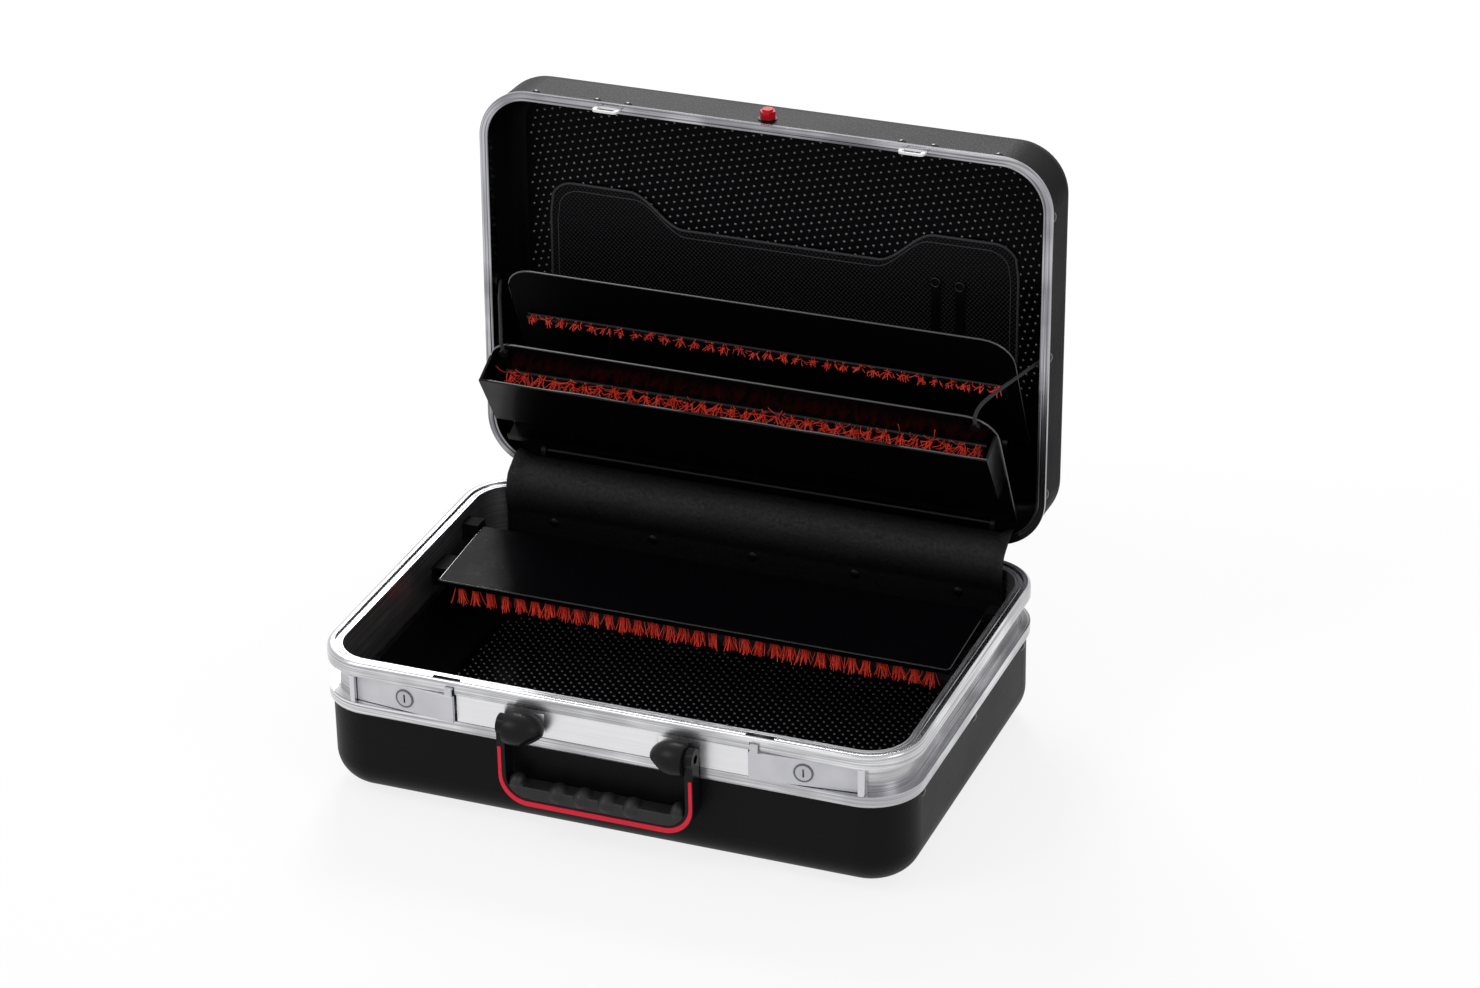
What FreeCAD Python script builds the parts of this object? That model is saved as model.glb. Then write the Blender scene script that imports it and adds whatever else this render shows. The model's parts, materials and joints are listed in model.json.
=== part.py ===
import FreeCAD, Part
import math
import os
from FreeCAD import Vector

# Hard tool case with rocker latches, a bail handle and tool boards in its lid.
# X runs along the width, Y from the front (minus) to the hinge (plus), Z up.
# The origin is the middle of the underside, and the lid is modelled open.
# Lengths are millimetres and angles are degrees.

# Driving sizes of the case
case_width = 480.0
case_depth = 324.0
base_top = 120.0
lid_side_setback = 3.0
lid_depth = 60.0
corner_radius = 42.0
lid_open_angle = 92.0

# General clearances and small sizes
seat_gap = 0.3
running_gap = 0.05
cut_overrun = 1.0
rivet_head_radius = 4.0
rivet_head_height = 1.8
rivet_shank_radius = 1.6

# Base frame, an aluminium extrusion bent round the rim
frame_height = 44.5
frame_top_flange = 11.0
frame_bead_height = 10.5
frame_channel_depth = 9.0
frame_face_width = 12.0
frame_edge_radius = 3.0
frame_skirt_drop = 11.0
frame_skirt_wall = 2.0
frame_groove_inset = 5.5
frame_groove_width = 1.8
frame_groove_depth = 2.0
frame_lip_width = 1.6
frame_lip_gap = 0.8
frame_lip_drop = 1.4

# Base shell, one thermoformed tray
shell_inset = 3.0
shell_wall = 3.0
shell_edge_radius = 26.0
pad_height = 3.0
pad_length = 62.0
centre_pad_half_width = 60.0
centre_pad_half_depth = 30.0
floor_lining_thickness = 3.0

# Rocker latches in the front channel
latch_side_setback = 80.0
latch_length = 84.0
latch_plate_thickness = 2.6
latch_plate_setback = 0.5
latch_gap = 0.4
latch_tilt = 6.0
latch_pivot_setback = 6.2
latch_block_width = 10.0
latch_block_depth = 4.8
latch_lug_thickness = 2.0
latch_lug_width = 10.0
latch_lug_wall = 0.8
latch_pin_radius = 1.2
latch_pin_reach = 3.0
hook_width = 6.0
hook_from_end = 1.2
hook_thickness = 1.6
hook_rise = 5.9
hook_reach = 5.3
end_block_width = 8.0
end_block_gap = 0.7
lock_radius = 6.2
lock_ring_radius = 7.6
lock_ring_height = 0.7
lock_depth = 7.0
keyway_width = 1.4
keyway_height = 7.0
keyway_depth = 4.0

# Strikers on the lid that drop behind the latches
striker_from_latch_end = 8.0
striker_width = 21.0
striker_drop = 9.0
striker_setback = 2.7
striker_thickness = 1.8
striker_bar = 1.6
striker_side = 3.2
striker_foot = 3.2
striker_rivet_offset = 13.0
slot_gap = 0.9
notch_gap = 0.6

# Front filler strip between the latches
strip_setback = 0.4
strip_wall = 2.0
strip_gap = 0.2

# Carrying handle and its bosses
handle_axis_out = 8.0
handle_axis_drop = 23.0
boss_radius = 15.5
boss_nose_radius = 9.5
boss_inner_x = 43.0
boss_outer_x = 72.0
boss_root_inset = 3.0
arm_gap = 0.4
arm_thickness = 6.5
arm_disc_radius = 8.0
arm_width = 13.0
handle_pin_radius = 3.5
handle_pin_reach = 4.0
grip_drop = 56.0
grip_height = 17.0
grip_depth = 17.0
grip_corner_radius = 24.0
grip_edge_radius = 6.0
inlay_width = 4.6
inlay_depth = 1.6
inlay_proud = 0.6
inlay_top_drop = 16.0
bump_radius = 5.0
bump_pitch = 20.0
bump_count = 4
bump_rise = 2.0
bump_offset_x = -2.0

# Piano hinge along the rear
hinge_out = 6.2
hinge_rise = 2.4
hinge_end_gap = 30.0
knuckle_count = 21
knuckle_radius = 3.2
knuckle_gap = 0.3
hinge_pin_radius = 1.4
leaf_thickness = 1.2
leaf_height = 12.0
lid_leaf_height = 20.0
hinge_rivet_count = 8
hinge_rivet_radius = 2.6
hinge_rivet_height = 1.0

# Lid stops on the rear of the base
stop_from_corner = 12.0
stop_width = 14.0
stop_thickness = 4.0
stop_start = 9.0
stop_length = 16.0
stop_drop = 26.0

# Lid frame, shell and linings
lid_frame_band = 3.5
lid_frame_face = 7.0
lid_groove_inset = 4.3
lid_groove_width = 1.1
lid_groove_depth = 1.0
lid_shell_inset = 1.5
lid_skirt_wall = 2.0
lid_skirt_height = 10.5
lid_edge_radius = 18.0
lid_lining_thickness = 10.0
side_rivet_depth = 8.7

# Red hexagonal button on the lid's front wall
button_depth = 18.0
button_radius = 6.5
button_height = 6.0
button_cap_radius = 4.2
button_cap_height = 1.6
button_collar_radius = 7.6
button_collar_height = 0.8

# Document pocket on the lid's lining
pocket_side_gap = 33.0
pocket_bottom = 100.0
pocket_top = 240.0
pocket_dip = 213.5
pocket_corner_radius = 20.0
pocket_shoulder_x = 128.0
pocket_dip_x = 82.0
pocket_thickness = 1.5
piping_radius = 1.5
tag_places = ((130.0, 159.0), (150.0, 158.0))
tag_width = 7.0
tag_length = 46.0
tag_thickness = 1.4
tag_ring_radius = 3.6
tag_ring_wire = 0.9

# Boards that tilt out of the lid
board_side_gap = 18.0
board_thickness = 2.5
board_corner_radius = 24.0
board_hem_inset = 23.0
hem_radius = 3.6
board_pin_radius = 2.0
bracket_thickness = 4.0
bracket_gap = 1.0
bracket_radius = 5.5
front_pivot_up = 18.5
front_pivot_deep = 13.0
front_lean_angle = 28.9
front_length = 136.0
back_pivot_up = 75.0
back_pivot_from_lining = 7.0
back_lean_angle = 26.5
back_length = 124.0

# Trough, tip rail and bristles on the front board
trough_top_drop = 16.0
trough_height = 53.0
trough_bottom_out = 22.3
trough_top_out = 26.4
trough_wall = 2.0
rail_place = 30.5
rail_out = 15.5
rail_lip = 4.5
rail_wall = 2.0
rail_hole_radius = 4.0
rail_hole_end_gap = 23.0
rail_hole_pitch = 27.0
tuft_pitch = 12.6
tuft_width = 10.4
tuft_tip_width = 12.0
tuft_thickness = 4.0
tuft_length = 14.0
back_tuft_length = 5.0
tuft_back = 4.0
trough_bristle_drop = 35.0
back_bristle_drop = 54.0
tuft_end_gap = 10.4

# Cords that hold the front board forward
cord_radius = 1.6
cord_anchor = (226.0, 163.0, 8.5)
cord_route = ((220.0, 161.5, -8.0), (208.0, 159.0, -33.0), (202.0, 156.0, -45.0), (199.0, 150.5, -51.5),
              (197.6, 144.0, -55.8), (197.0, 138.0, -56.9))
cord_end_x = 196.8
anchor_radius = 4.5
anchor_height = 3.0
grommet_radius = 3.6
grommet_height = 4.0

# Tool board over the rear of the base
base_board_rear_setback = 64.5
base_board_depth = 85.5
base_board_front_drop = 19.1
base_board_rear_drop = 14.0
base_board_side_gap = 15.0
base_board_thickness = 2.5
base_board_lip = 4.2
base_board_hem_radius = 3.4
board_pin_end_gap = 3.0
board_bracket_height = 14.0
ledge_length = 24.0
ledge_start = 20.0
ledge_overlap = 7.0
ledge_thickness = 3.0
ledge_drop = 16.0

# Felt apron over the hinge
apron_side_gap = 16.0
apron_thickness = 1.2
apron_tail = 15.0
apron_curl = 4.8
apron_curl_width = 14.0
apron_flat = 6.0
apron_inner_place = (14.3, 5.5)
apron_lip_place = (14.6, -1.6)
apron_bulge = ((3.0, 13.0), (10.5, 7.0), (14.8, -4.0), (14.4, -15.0))
apron_rivet_inset = 39.0
apron_rivet_drop = 29.0
apron_rivet_count = 5

# Worked-out places
half_width = case_width / 2
half_depth = case_depth / 2
lid_width = case_width - lid_side_setback * 2
inner_wall_x = half_width - frame_face_width
lid_inner_x = lid_width / 2 - lid_frame_face
frame_bottom = base_top - frame_height
channel_top = base_top - frame_top_flange
channel_bottom = frame_bottom + frame_bead_height
channel_floor_y = frame_channel_depth - half_depth
channel_height = channel_top - channel_bottom
channel_mid_z = (channel_top + channel_bottom) / 2
hinge_y = half_depth + hinge_out
hinge_z = base_top + hinge_rise
base_outline = (half_width, half_depth, corner_radius)
lid_outline = (lid_width / 2, half_depth, corner_radius)
lid_bottom = base_top + seat_gap
lid_top = base_top + lid_depth
lining_face = lid_top - shell_wall - lid_lining_thickness
pivot_y = latch_pivot_setback - half_depth
latch_centre_x = half_width - latch_side_setback
striker_x = latch_centre_x - latch_length / 2 + striker_from_latch_end
handle_y = -half_depth - handle_axis_out
handle_axis_z = base_top - handle_axis_drop
grip_centre_z = handle_axis_z - grip_drop
inlay_top_z = handle_axis_z - inlay_top_drop
hinge_half_length = half_width - corner_radius - hinge_end_gap
stop_x = half_width - corner_radius - stop_from_corner
pocket_half_width = lid_inner_x - pocket_side_gap
board_half_width = lid_inner_x - board_side_gap
board_hem_half = board_half_width - board_hem_inset
back_pivot_deep = lining_face - base_top - back_pivot_from_lining
trough_top = front_length - trough_top_drop
trough_bottom = trough_top - trough_height
trough_bristle_place = front_length - trough_bristle_drop
back_bristle_place = back_length - back_bristle_drop
rail_hole_count = 1 + round((board_half_width - rail_hole_end_gap) * 2 / rail_hole_pitch)
tuft_count = round((board_half_width - tuft_end_gap) * 2 / tuft_pitch)
base_board_rear_y = half_depth - base_board_rear_setback
base_board_front_y = base_board_rear_y - base_board_depth
base_board_front_z = base_top - base_board_front_drop
base_board_rear_z = base_top - base_board_rear_drop
base_board_half_width = inner_wall_x - base_board_side_gap
board_bracket_reach = base_board_side_gap - board_pin_end_gap
ledge_reach = base_board_side_gap + ledge_overlap
apron_half_width = inner_wall_x - apron_side_gap
apron_curl_start = apron_half_width - apron_curl_width
apron_rivet_x = apron_half_width - apron_rivet_inset
apron_rivet_z = base_top - apron_rivet_drop
hinge_point = Vector(0, hinge_y, hinge_z)
along_x = Vector(1, 0, 0)
along_y = Vector(0, 1, 0)
along_z = Vector(0, 0, 1)


# Shape helpers
def box(low, high):
    size = [b - a for a, b in zip(low, high)]
    return Part.makeBox(*size, Vector(*low))


def rod(start, direction, length, radius):
    return Part.makeCylinder(radius, length, Vector(*start), direction)


def rounded_wire(outline, inset, z):
    hw, hd, radius = outline[0] - inset, outline[1] - inset, outline[2] - inset
    cx, cy = hw - radius, hd - radius
    diagonal = radius * math.sqrt(2) / 2
    edges = []
    corners = ((1, 1), (-1, 1), (-1, -1), (1, -1))
    for i, (sx, sy) in enumerate(corners):
        side = Vector(sx * hw, sy * cy, z)
        end = Vector(sx * cx, sy * hd, z)
        first, last = (side, end) if sx * sy > 0 else (end, side)
        middle = Vector(sx * (cx + diagonal), sy * (cy + diagonal), z)
        edges.append((first, middle, last))
    shapes = []
    for i, (first, middle, last) in enumerate(edges):
        shapes.append(Part.Arc(first, middle, last).toShape())
        shapes.append(Part.makeLine(last, edges[(i + 1) % len(edges)][0]))
    return Part.Wire(shapes)


def prism(outline, inset, bottom, top):
    face = Part.Face(rounded_wire(outline, inset, bottom))
    return face.extrude(Vector(0, 0, top - bottom))


def ring(outline, outer_inset, inner_inset, bottom, top):
    hole = prism(outline, inner_inset, bottom - cut_overrun, top + cut_overrun)
    return prism(outline, outer_inset, bottom, top).cut(hole)


def slab(points, start_x, end_x):
    corners = [Vector(start_x, y, z) for y, z in points]
    face = Part.Face(Part.makePolygon(corners + corners[:1]))
    return face.extrude(Vector(end_x - start_x, 0, 0))


def offset_side(points, distance):
    """Points of an open path moved sideways, with mitred corners."""
    moved = []
    for i, (y, z) in enumerate(points):
        before = points[max(i - 1, 0)]
        after = points[min(i + 1, len(points) - 1)]
        directions = []
        for a, b in ((before, (y, z)), ((y, z), after)):
            length = math.hypot(b[0] - a[0], b[1] - a[1])
            if length > 0:
                directions.append(((b[0] - a[0]) / length, (b[1] - a[1]) / length))
        dy = sum(d[0] for d in directions) / len(directions)
        dz = sum(d[1] for d in directions) / len(directions)
        scale = distance / (dy * dy + dz * dz)
        moved.append((y - dz * scale, z + dy * scale))
    return moved


def ribbon(points, thickness, start_x, end_x):
    half = thickness / 2
    outline = offset_side(points, half) + offset_side(points, -half)[::-1]
    return slab(outline, start_x, end_x)


def smooth_section(points, thickness, x):
    """Closed cross-section of a sheet that follows one smooth curve through the points."""
    sides = []
    for distance in (thickness / 2, -thickness / 2):
        curve = Part.BSplineCurve()
        curve.interpolate([Vector(x, y, z) for y, z in offset_side(points, distance)])
        sides.append(curve)
    near, far = sides
    return Part.Wire([near.toShape(), Part.makeLine(near.EndPoint, far.EndPoint),
                      far.toShape(), Part.makeLine(far.StartPoint, near.StartPoint)])


def mirrored(shape):
    return shape.mirror(Vector(0, 0, 0), along_x)


def both_sides(shape):
    return [shape, mirrored(shape)]


def edges_along(shape, direction, test):
    chosen = []
    for edge in shape.Edges:
        ends = [v.Point for v in edge.Vertexes]
        if len(ends) == 2:
            span = ends[1] - ends[0]
            if span.Length > 0 and abs(span.normalize().dot(direction)) > math.cos(math.radians(1)):
                if test(edge.CenterOfMass):
                    chosen.append(edge)
    return chosen


def rivet(place, direction, grip):
    """Dome head outside, standing on the surface at place, with a shank of length grip inwards."""
    outward = Vector(*direction)
    base = Vector(*place)
    sphere_radius = (rivet_head_radius ** 2 + rivet_head_height ** 2) / (2 * rivet_head_height)
    centre = base - outward * (sphere_radius - rivet_head_height)
    dome = Part.makeSphere(sphere_radius, centre)
    keep = Part.makeCylinder(rivet_head_radius, rivet_head_height, base, outward)
    shank = Part.makeCylinder(rivet_shank_radius, grip, base - outward * grip, outward)
    return dome.common(keep).fuse(shank).removeSplitter()


def rivet_hole(place, direction, grip):
    outward = Vector(*direction)
    start = Vector(*place) - outward * (grip + cut_overrun)
    return Part.makeCylinder(rivet_shank_radius, grip + cut_overrun * 2, start, outward)


def open_lid(shape):
    turned = shape.copy()
    turned.rotate(hinge_point, -along_x, lid_open_angle)
    return turned


def lid_yz(up, deep):
    """A point of the closed lid, up from its hinge edge and deep behind its mouth."""
    return hinge_y - up, base_top + deep


def opened_yz(y, z):
    turned = hinge_point + FreeCAD.Rotation(-along_x, lid_open_angle).multVec(Vector(0, y, z) - hinge_point)
    return turned.y, turned.z


# Rivets that hold the shells in the frames, as (place, outward direction)
def base_rivet_places():
    z = frame_bottom - frame_skirt_drop / 2 + pad_height / 2
    side_x = half_width - shell_inset
    side_y = half_depth - shell_inset
    third = half_depth - corner_radius - rivet_head_radius
    places = [((s * side_x, y, z), (s, 0, 0)) for s in (-1, 1) for y in (-third, 0, third)]
    far = half_width - corner_radius - rivet_head_radius
    places += [((x, side_y, z), (0, 1, 0)) for x in (-far, 0, far)]
    return places


def lid_rivet_places():
    z = base_top + side_rivet_depth
    side_x = lid_width / 2 - lid_shell_inset
    side_y = half_depth - lid_shell_inset
    third = half_depth - corner_radius - rivet_head_radius
    places = [((s * side_x, y, z), (s, 0, 0)) for s in (-1, 1) for y in (-third, 0, third)]
    far = lid_width / 2 - corner_radius - rivet_head_radius
    places += [((x, -side_y, z), (0, -1, 0)) for x in (-far, far)]
    return places


def striker_rivet_places():
    z = base_top + side_rivet_depth
    y = lid_shell_inset - half_depth
    offsets = (-striker_rivet_offset, striker_rivet_offset)
    return [((s * striker_x + d, y, z), (0, -1, 0)) for s in (-1, 1) for d in offsets]


base_rivet_grip = shell_wall + frame_skirt_wall
lid_rivet_grip = shell_wall + lid_skirt_wall


# Base shell, frame and linings
def make_base_shell():
    outer = prism(base_outline, shell_inset, pad_height, frame_bottom)
    outer = outer.makeFillet(shell_edge_radius, level_edges(outer, pad_height))
    floor_z = pad_height + shell_wall
    inner = prism(base_outline, shell_inset + shell_wall, floor_z, frame_bottom + cut_overrun)
    inner = inner.makeFillet(shell_edge_radius - shell_wall, level_edges(inner, floor_z))
    shell = outer.cut(inner)
    shell = shell.fuse(underside_pads())
    for place, outward in base_rivet_places():
        shell = shell.cut(rivet_hole(place, outward, base_rivet_grip))
    return shell.removeSplitter()


def underside_pads():
    """Low moulded pads under the four corners and the middle."""
    inset = shell_inset + shell_edge_radius
    sheet = prism(base_outline, inset, 0, pad_height + seat_gap)
    cross_x = half_width - inset - pad_length
    cross_y = half_depth - inset - pad_length
    gap_x = box((-cross_x, -half_depth, -cut_overrun), (cross_x, half_depth, pad_height + cut_overrun))
    gap_y = box((-half_width, -cross_y, -cut_overrun), (half_width, cross_y, pad_height + cut_overrun))
    corners = sheet.cut(gap_x).cut(gap_y)
    centre = box((-centre_pad_half_width, -centre_pad_half_depth, 0),
                 (centre_pad_half_width, centre_pad_half_depth, pad_height + seat_gap))
    return corners.fuse(centre)


def make_base_frame():
    frame = ring(base_outline, 0, frame_face_width, frame_bottom, base_top)
    rim_edges = [e for e in frame.Edges if on_outer_rim(e, base_top) or on_outer_rim(e, frame_bottom)]
    frame = frame.makeFillet(frame_edge_radius, rim_edges)
    channel = ring(base_outline, -cut_overrun, frame_channel_depth, channel_bottom, channel_top)
    groove_floor = base_top - frame_groove_depth
    groove = ring(base_outline, frame_groove_inset, frame_groove_inset + frame_groove_width,
                  groove_floor, base_top + cut_overrun)
    lip_start = frame_face_width - frame_lip_width
    lip_floor = base_top - frame_lip_drop
    lip_step = ring(base_outline, frame_groove_inset, frame_face_width + cut_overrun,
                    lip_floor, base_top + cut_overrun)
    lip_line = ring(base_outline, lip_start - frame_lip_gap, lip_start,
                    lip_floor - frame_lip_drop, base_top + cut_overrun)
    skirt_out = shell_inset + shell_wall
    skirt = ring(base_outline, skirt_out, skirt_out + frame_skirt_wall,
                 frame_bottom - frame_skirt_drop, frame_bottom)
    frame = frame.fuse(skirt)
    for tool in (channel, groove, lip_step, lip_line):
        frame = frame.cut(tool)
    for place, outward in base_rivet_places():
        frame = frame.cut(rivet_hole(place, outward, base_rivet_grip))
    for side in (-1, 1):
        frame = frame.cut(striker_slot(side)).cut(hook_notch(side))
    return frame.removeSplitter()


def on_outer_rim(edge, z):
    level = all(abs(v.Z - z) < seat_gap for v in edge.Vertexes)
    bound = edge.BoundBox
    outside = max(abs(bound.XMin), abs(bound.XMax)) > half_width - corner_radius
    far = frame_face_width / 2
    centre = edge.valueAt((edge.FirstParameter + edge.LastParameter) / 2)
    gap_x = half_width - abs(centre.x)
    gap_y = half_depth - abs(centre.y)
    corner = math.hypot(max(corner_radius - gap_x, 0), max(corner_radius - gap_y, 0))
    straight = min(gap_x, gap_y) < far
    round_part = corner > corner_radius - far
    return level and (outside or straight) and (straight or round_part)


def striker_slot(side):
    front = striker_setback - slot_gap - half_depth
    back = striker_setback + striker_thickness + slot_gap - half_depth
    reach = striker_width / 2 + slot_gap
    return box((side * striker_x - reach, front, channel_top - cut_overrun),
               (side * striker_x + reach, back, base_top + cut_overrun))


def hook_x(side):
    inner = latch_centre_x - latch_length / 2 + hook_from_end
    low, high = sorted((side * inner, side * (inner + hook_width)))
    return low, high


def hook_notch(side):
    low, high = hook_x(side)
    top = channel_top + hook_rise + notch_gap
    back = latch_plate_setback + latch_gap + hook_reach + notch_gap - half_depth
    return box((low - notch_gap, -half_depth - cut_overrun, channel_top - cut_overrun),
               (high + notch_gap, back, top))


def make_floor_lining():
    bottom = pad_height + shell_wall
    inset = shell_inset + shell_wall + shell_edge_radius - shell_wall
    return prism(base_outline, inset, bottom, bottom + floor_lining_thickness)


def make_base_rivets():
    return [rivet(place, outward, base_rivet_grip) for place, outward in base_rivet_places()]


# Front strip, latches and locks
def make_front_strip():
    reach = latch_centre_x - latch_length / 2 - end_block_gap
    front = strip_setback - half_depth
    low_z = channel_bottom + strip_gap
    high_z = channel_top - strip_gap
    strip = box((-reach, front, low_z), (reach, channel_floor_y, high_z))
    hollow = box((-reach + strip_wall, front + strip_wall, low_z + strip_wall),
                 (reach - strip_wall, channel_floor_y + cut_overrun, high_z - strip_wall))
    strip = strip.cut(hollow)
    for side in (-1, 1):
        strip = strip.cut(boss_root(side, strip_gap))
    return strip.removeSplitter()


def make_end_blocks():
    start = latch_centre_x + latch_length / 2 + end_block_gap
    front = strip_setback - half_depth
    block = box((start, front, channel_bottom + strip_gap),
                (start + end_block_width - frame_edge_radius, channel_floor_y, channel_top - strip_gap))
    edges = edges_along(block, along_z, lambda p: p.y < front + seat_gap and p.x > start + seat_gap)
    block = block.makeFillet(frame_edge_radius, edges)
    return both_sides(block)


def latch_lugs():
    """Upper and lower lugs that carry the latch's pivot stubs, behind the plate."""
    low_x = latch_centre_x - latch_lug_width / 2
    high_x = latch_centre_x + latch_lug_width / 2
    front = pivot_y - latch_pin_radius - latch_lug_wall
    pieces = []
    for bottom in (channel_bottom, channel_top - latch_lug_thickness):
        lug = box((low_x, front, bottom), (high_x, channel_floor_y, bottom + latch_lug_thickness))
        bore = rod((latch_centre_x, pivot_y, bottom - cut_overrun), along_z,
                   latch_lug_thickness + cut_overrun * 2, latch_pin_radius)
        pieces.append(lug.cut(bore))
    return pieces


def latch_pins():
    reach = latch_lug_thickness + latch_gap / 2 + latch_pin_reach
    lower = rod((latch_centre_x, pivot_y, channel_bottom), along_z, reach, latch_pin_radius)
    upper = rod((latch_centre_x, pivot_y, channel_top), -along_z, reach, latch_pin_radius)
    return [lower, upper]


def make_latch_lugs():
    return [piece for lug in latch_lugs() for piece in both_sides(lug)]


def make_latch_pins():
    return [piece for pin in latch_pins() for piece in both_sides(pin)]


def lock_axis_start():
    return latch_centre_x, latch_plate_setback - half_depth, channel_mid_z


def flush_latch():
    """Right-hand latch plate with its pivot block and hook, drawn pushed flush."""
    low_x = latch_centre_x - latch_length / 2
    high_x = latch_centre_x + latch_length / 2
    front = latch_plate_setback - half_depth
    back = front + latch_plate_thickness
    plate = box((low_x, front, channel_bottom + latch_gap), (high_x, back, channel_top - latch_gap))
    edges = edges_along(plate, along_x, lambda p: p.y < front + seat_gap)
    edges += edges_along(plate, along_z, lambda p: p.y < front + seat_gap)
    plate = plate.makeFillet(latch_gap, edges)
    block_bottom = channel_bottom + latch_lug_thickness + latch_gap / 2
    block_top = channel_top - latch_lug_thickness - latch_gap / 2
    block = box((latch_centre_x - latch_block_width / 2, back - latch_gap, block_bottom),
                (latch_centre_x + latch_block_width / 2, back + latch_block_depth, block_top))
    latch = plate.fuse(block)
    bore_radius = latch_pin_radius + running_gap
    for bottom in (block_bottom - cut_overrun, block_top - latch_pin_reach - running_gap):
        latch = latch.cut(rod((latch_centre_x, pivot_y, bottom), along_z,
                              latch_pin_reach + running_gap + cut_overrun, bore_radius))
    lock_bore = rod((latch_centre_x, front - cut_overrun, channel_mid_z), along_y,
                    lock_depth + cut_overrun + running_gap, lock_radius + running_gap)
    return latch.cut(lock_bore).fuse(flush_hook()).removeSplitter()


def flush_hook():
    """Stem up through the notch, with a finger that reaches back over the striker's bar."""
    low, high = hook_x(1)
    front = latch_plate_setback + latch_gap - half_depth
    top = channel_top + hook_rise
    stem = box((low, front, channel_top - latch_gap * 2), (high, front + hook_thickness, top))
    finger = box((low, front, top - hook_thickness), (high, front + hook_reach, top))
    return stem.fuse(finger)


def tilted(shape):
    """The right-hand latch as photographed, its inner end swung out."""
    turned = shape.copy()
    turned.rotate(Vector(latch_centre_x, pivot_y, 0), along_z, latch_tilt)
    return turned


def flush_lock():
    x, y, z = lock_axis_start()
    start_y = y - lock_ring_height
    barrel = rod((x, start_y, z), along_y, lock_depth + lock_ring_height, lock_radius)
    keyway = box((x - keyway_width / 2, start_y - cut_overrun, z - keyway_height / 2),
                 (x + keyway_width / 2, start_y + keyway_depth, z + keyway_height / 2))
    return barrel.cut(keyway)


def flush_lock_ring():
    x, y, z = lock_axis_start()
    outer = rod((x, y - lock_ring_height, z), along_y, lock_ring_height, lock_ring_radius)
    inner = rod((x, y - lock_ring_height - cut_overrun, z), along_y,
                lock_ring_height + cut_overrun * 2, lock_radius + running_gap * 2)
    return outer.cut(inner)


# Handle bosses, bail, grip and inlay
def boss_root(side, clearance):
    low, high = sorted((side * (boss_inner_x + boss_root_inset), side * (boss_outer_x - boss_root_inset)))
    return box((low - clearance, -half_depth, channel_bottom + boss_root_inset - clearance),
               (high + clearance, channel_floor_y, channel_top - boss_root_inset + clearance))


def make_boss():
    """Right-hand boss: a cone lying along X that swells towards the arm, flat at the back."""
    length = boss_outer_x - boss_inner_x
    cone = Part.makeCone(boss_nose_radius, boss_radius, length,
                         Vector(boss_inner_x, handle_y, handle_axis_z), along_x)
    nose = [e for e in cone.Edges if abs(e.BoundBox.XMax - boss_inner_x) < seat_gap]
    cone = cone.makeFillet(boss_nose_radius / 2, nose)
    behind = box((boss_inner_x - cut_overrun, -half_depth, 0),
                 (boss_outer_x + cut_overrun, 0, base_top))
    boss = cone.cut(behind).fuse(boss_root(1, 0))
    bore = rod((boss_outer_x - handle_pin_reach, handle_y, handle_axis_z), along_x,
               handle_pin_reach + cut_overrun, handle_pin_radius)
    return boss.cut(bore).removeSplitter()


def make_handle_pins():
    length = handle_pin_reach + arm_gap + arm_thickness
    pin = rod((boss_outer_x - handle_pin_reach, handle_y, handle_axis_z), along_x, length, handle_pin_radius)
    return both_sides(pin)


def u_band(outer_inset, inner_inset, front, back, top):
    """A hanging U that follows the bail's outside, between two insets and two Y places."""
    high = boss_outer_x + arm_gap + arm_thickness
    bottom = grip_centre_z - grip_height / 2
    solids = []
    for inset, over in ((outer_inset, 0), (inner_inset, cut_overrun)):
        block = box((-high + inset, front - over, bottom + inset), (high - inset, back + over, top + over))
        edges = edges_along(block, along_y, lambda p: p.z < bottom + inset + seat_gap)
        solids.append(block.makeFillet(grip_corner_radius - inset, edges))
    return solids[0].cut(solids[1])


def bail_face():
    return handle_y - arm_width / 2


def make_bail():
    bail = u_band(0, arm_thickness, bail_face(), bail_face() + arm_width, handle_axis_z)
    low = boss_outer_x + arm_gap
    for side in (-1, 1):
        start = (side * low, handle_y, handle_axis_z)
        bail = bail.fuse(rod(start, along_x * side, arm_thickness, arm_disc_radius))
        bail = bail.cut(rod(start, along_x * side, arm_thickness + cut_overrun, handle_pin_radius + running_gap))
    return bail.cut(make_inlay()).removeSplitter()


def make_inlay():
    face = bail_face()
    return u_band(0, inlay_width, face - inlay_proud, face + inlay_depth, inlay_top_z)


def make_grip():
    """Soft hand piece seated in the bail's bow, with bumps for the fingers."""
    reach = boss_outer_x + arm_gap
    low_z = grip_centre_z - grip_height / 2 + arm_thickness
    high_z = low_z + grip_height - arm_thickness
    low_y = handle_y - grip_depth / 2
    bow = box((-reach, low_y, low_z), (reach, low_y + grip_depth, low_z + grip_corner_radius))
    corners = edges_along(bow, along_y, lambda p: p.z < low_z + seat_gap)
    bow = bow.makeFillet(grip_corner_radius - arm_thickness, corners)
    grip = bow.common(box((-reach, low_y, low_z), (reach, low_y + grip_depth, high_z)))
    top_edges = edges_along(grip, along_x, lambda p: p.z > high_z - seat_gap)
    grip = grip.makeFillet(grip_edge_radius, top_edges)
    for i in range(bump_count):
        x = bump_offset_x + (i - (bump_count - 1) / 2) * bump_pitch
        ball = Part.makeSphere(bump_radius, Vector(x, handle_y, high_z + bump_rise - bump_radius))
        grip = grip.fuse(ball)
    return grip.removeSplitter()


# Piano hinge and lid stops
def knuckle_span(index):
    pitch = hinge_half_length * 2 / knuckle_count
    start = -hinge_half_length + index * pitch
    return start + knuckle_gap / 2, pitch - knuckle_gap


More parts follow.
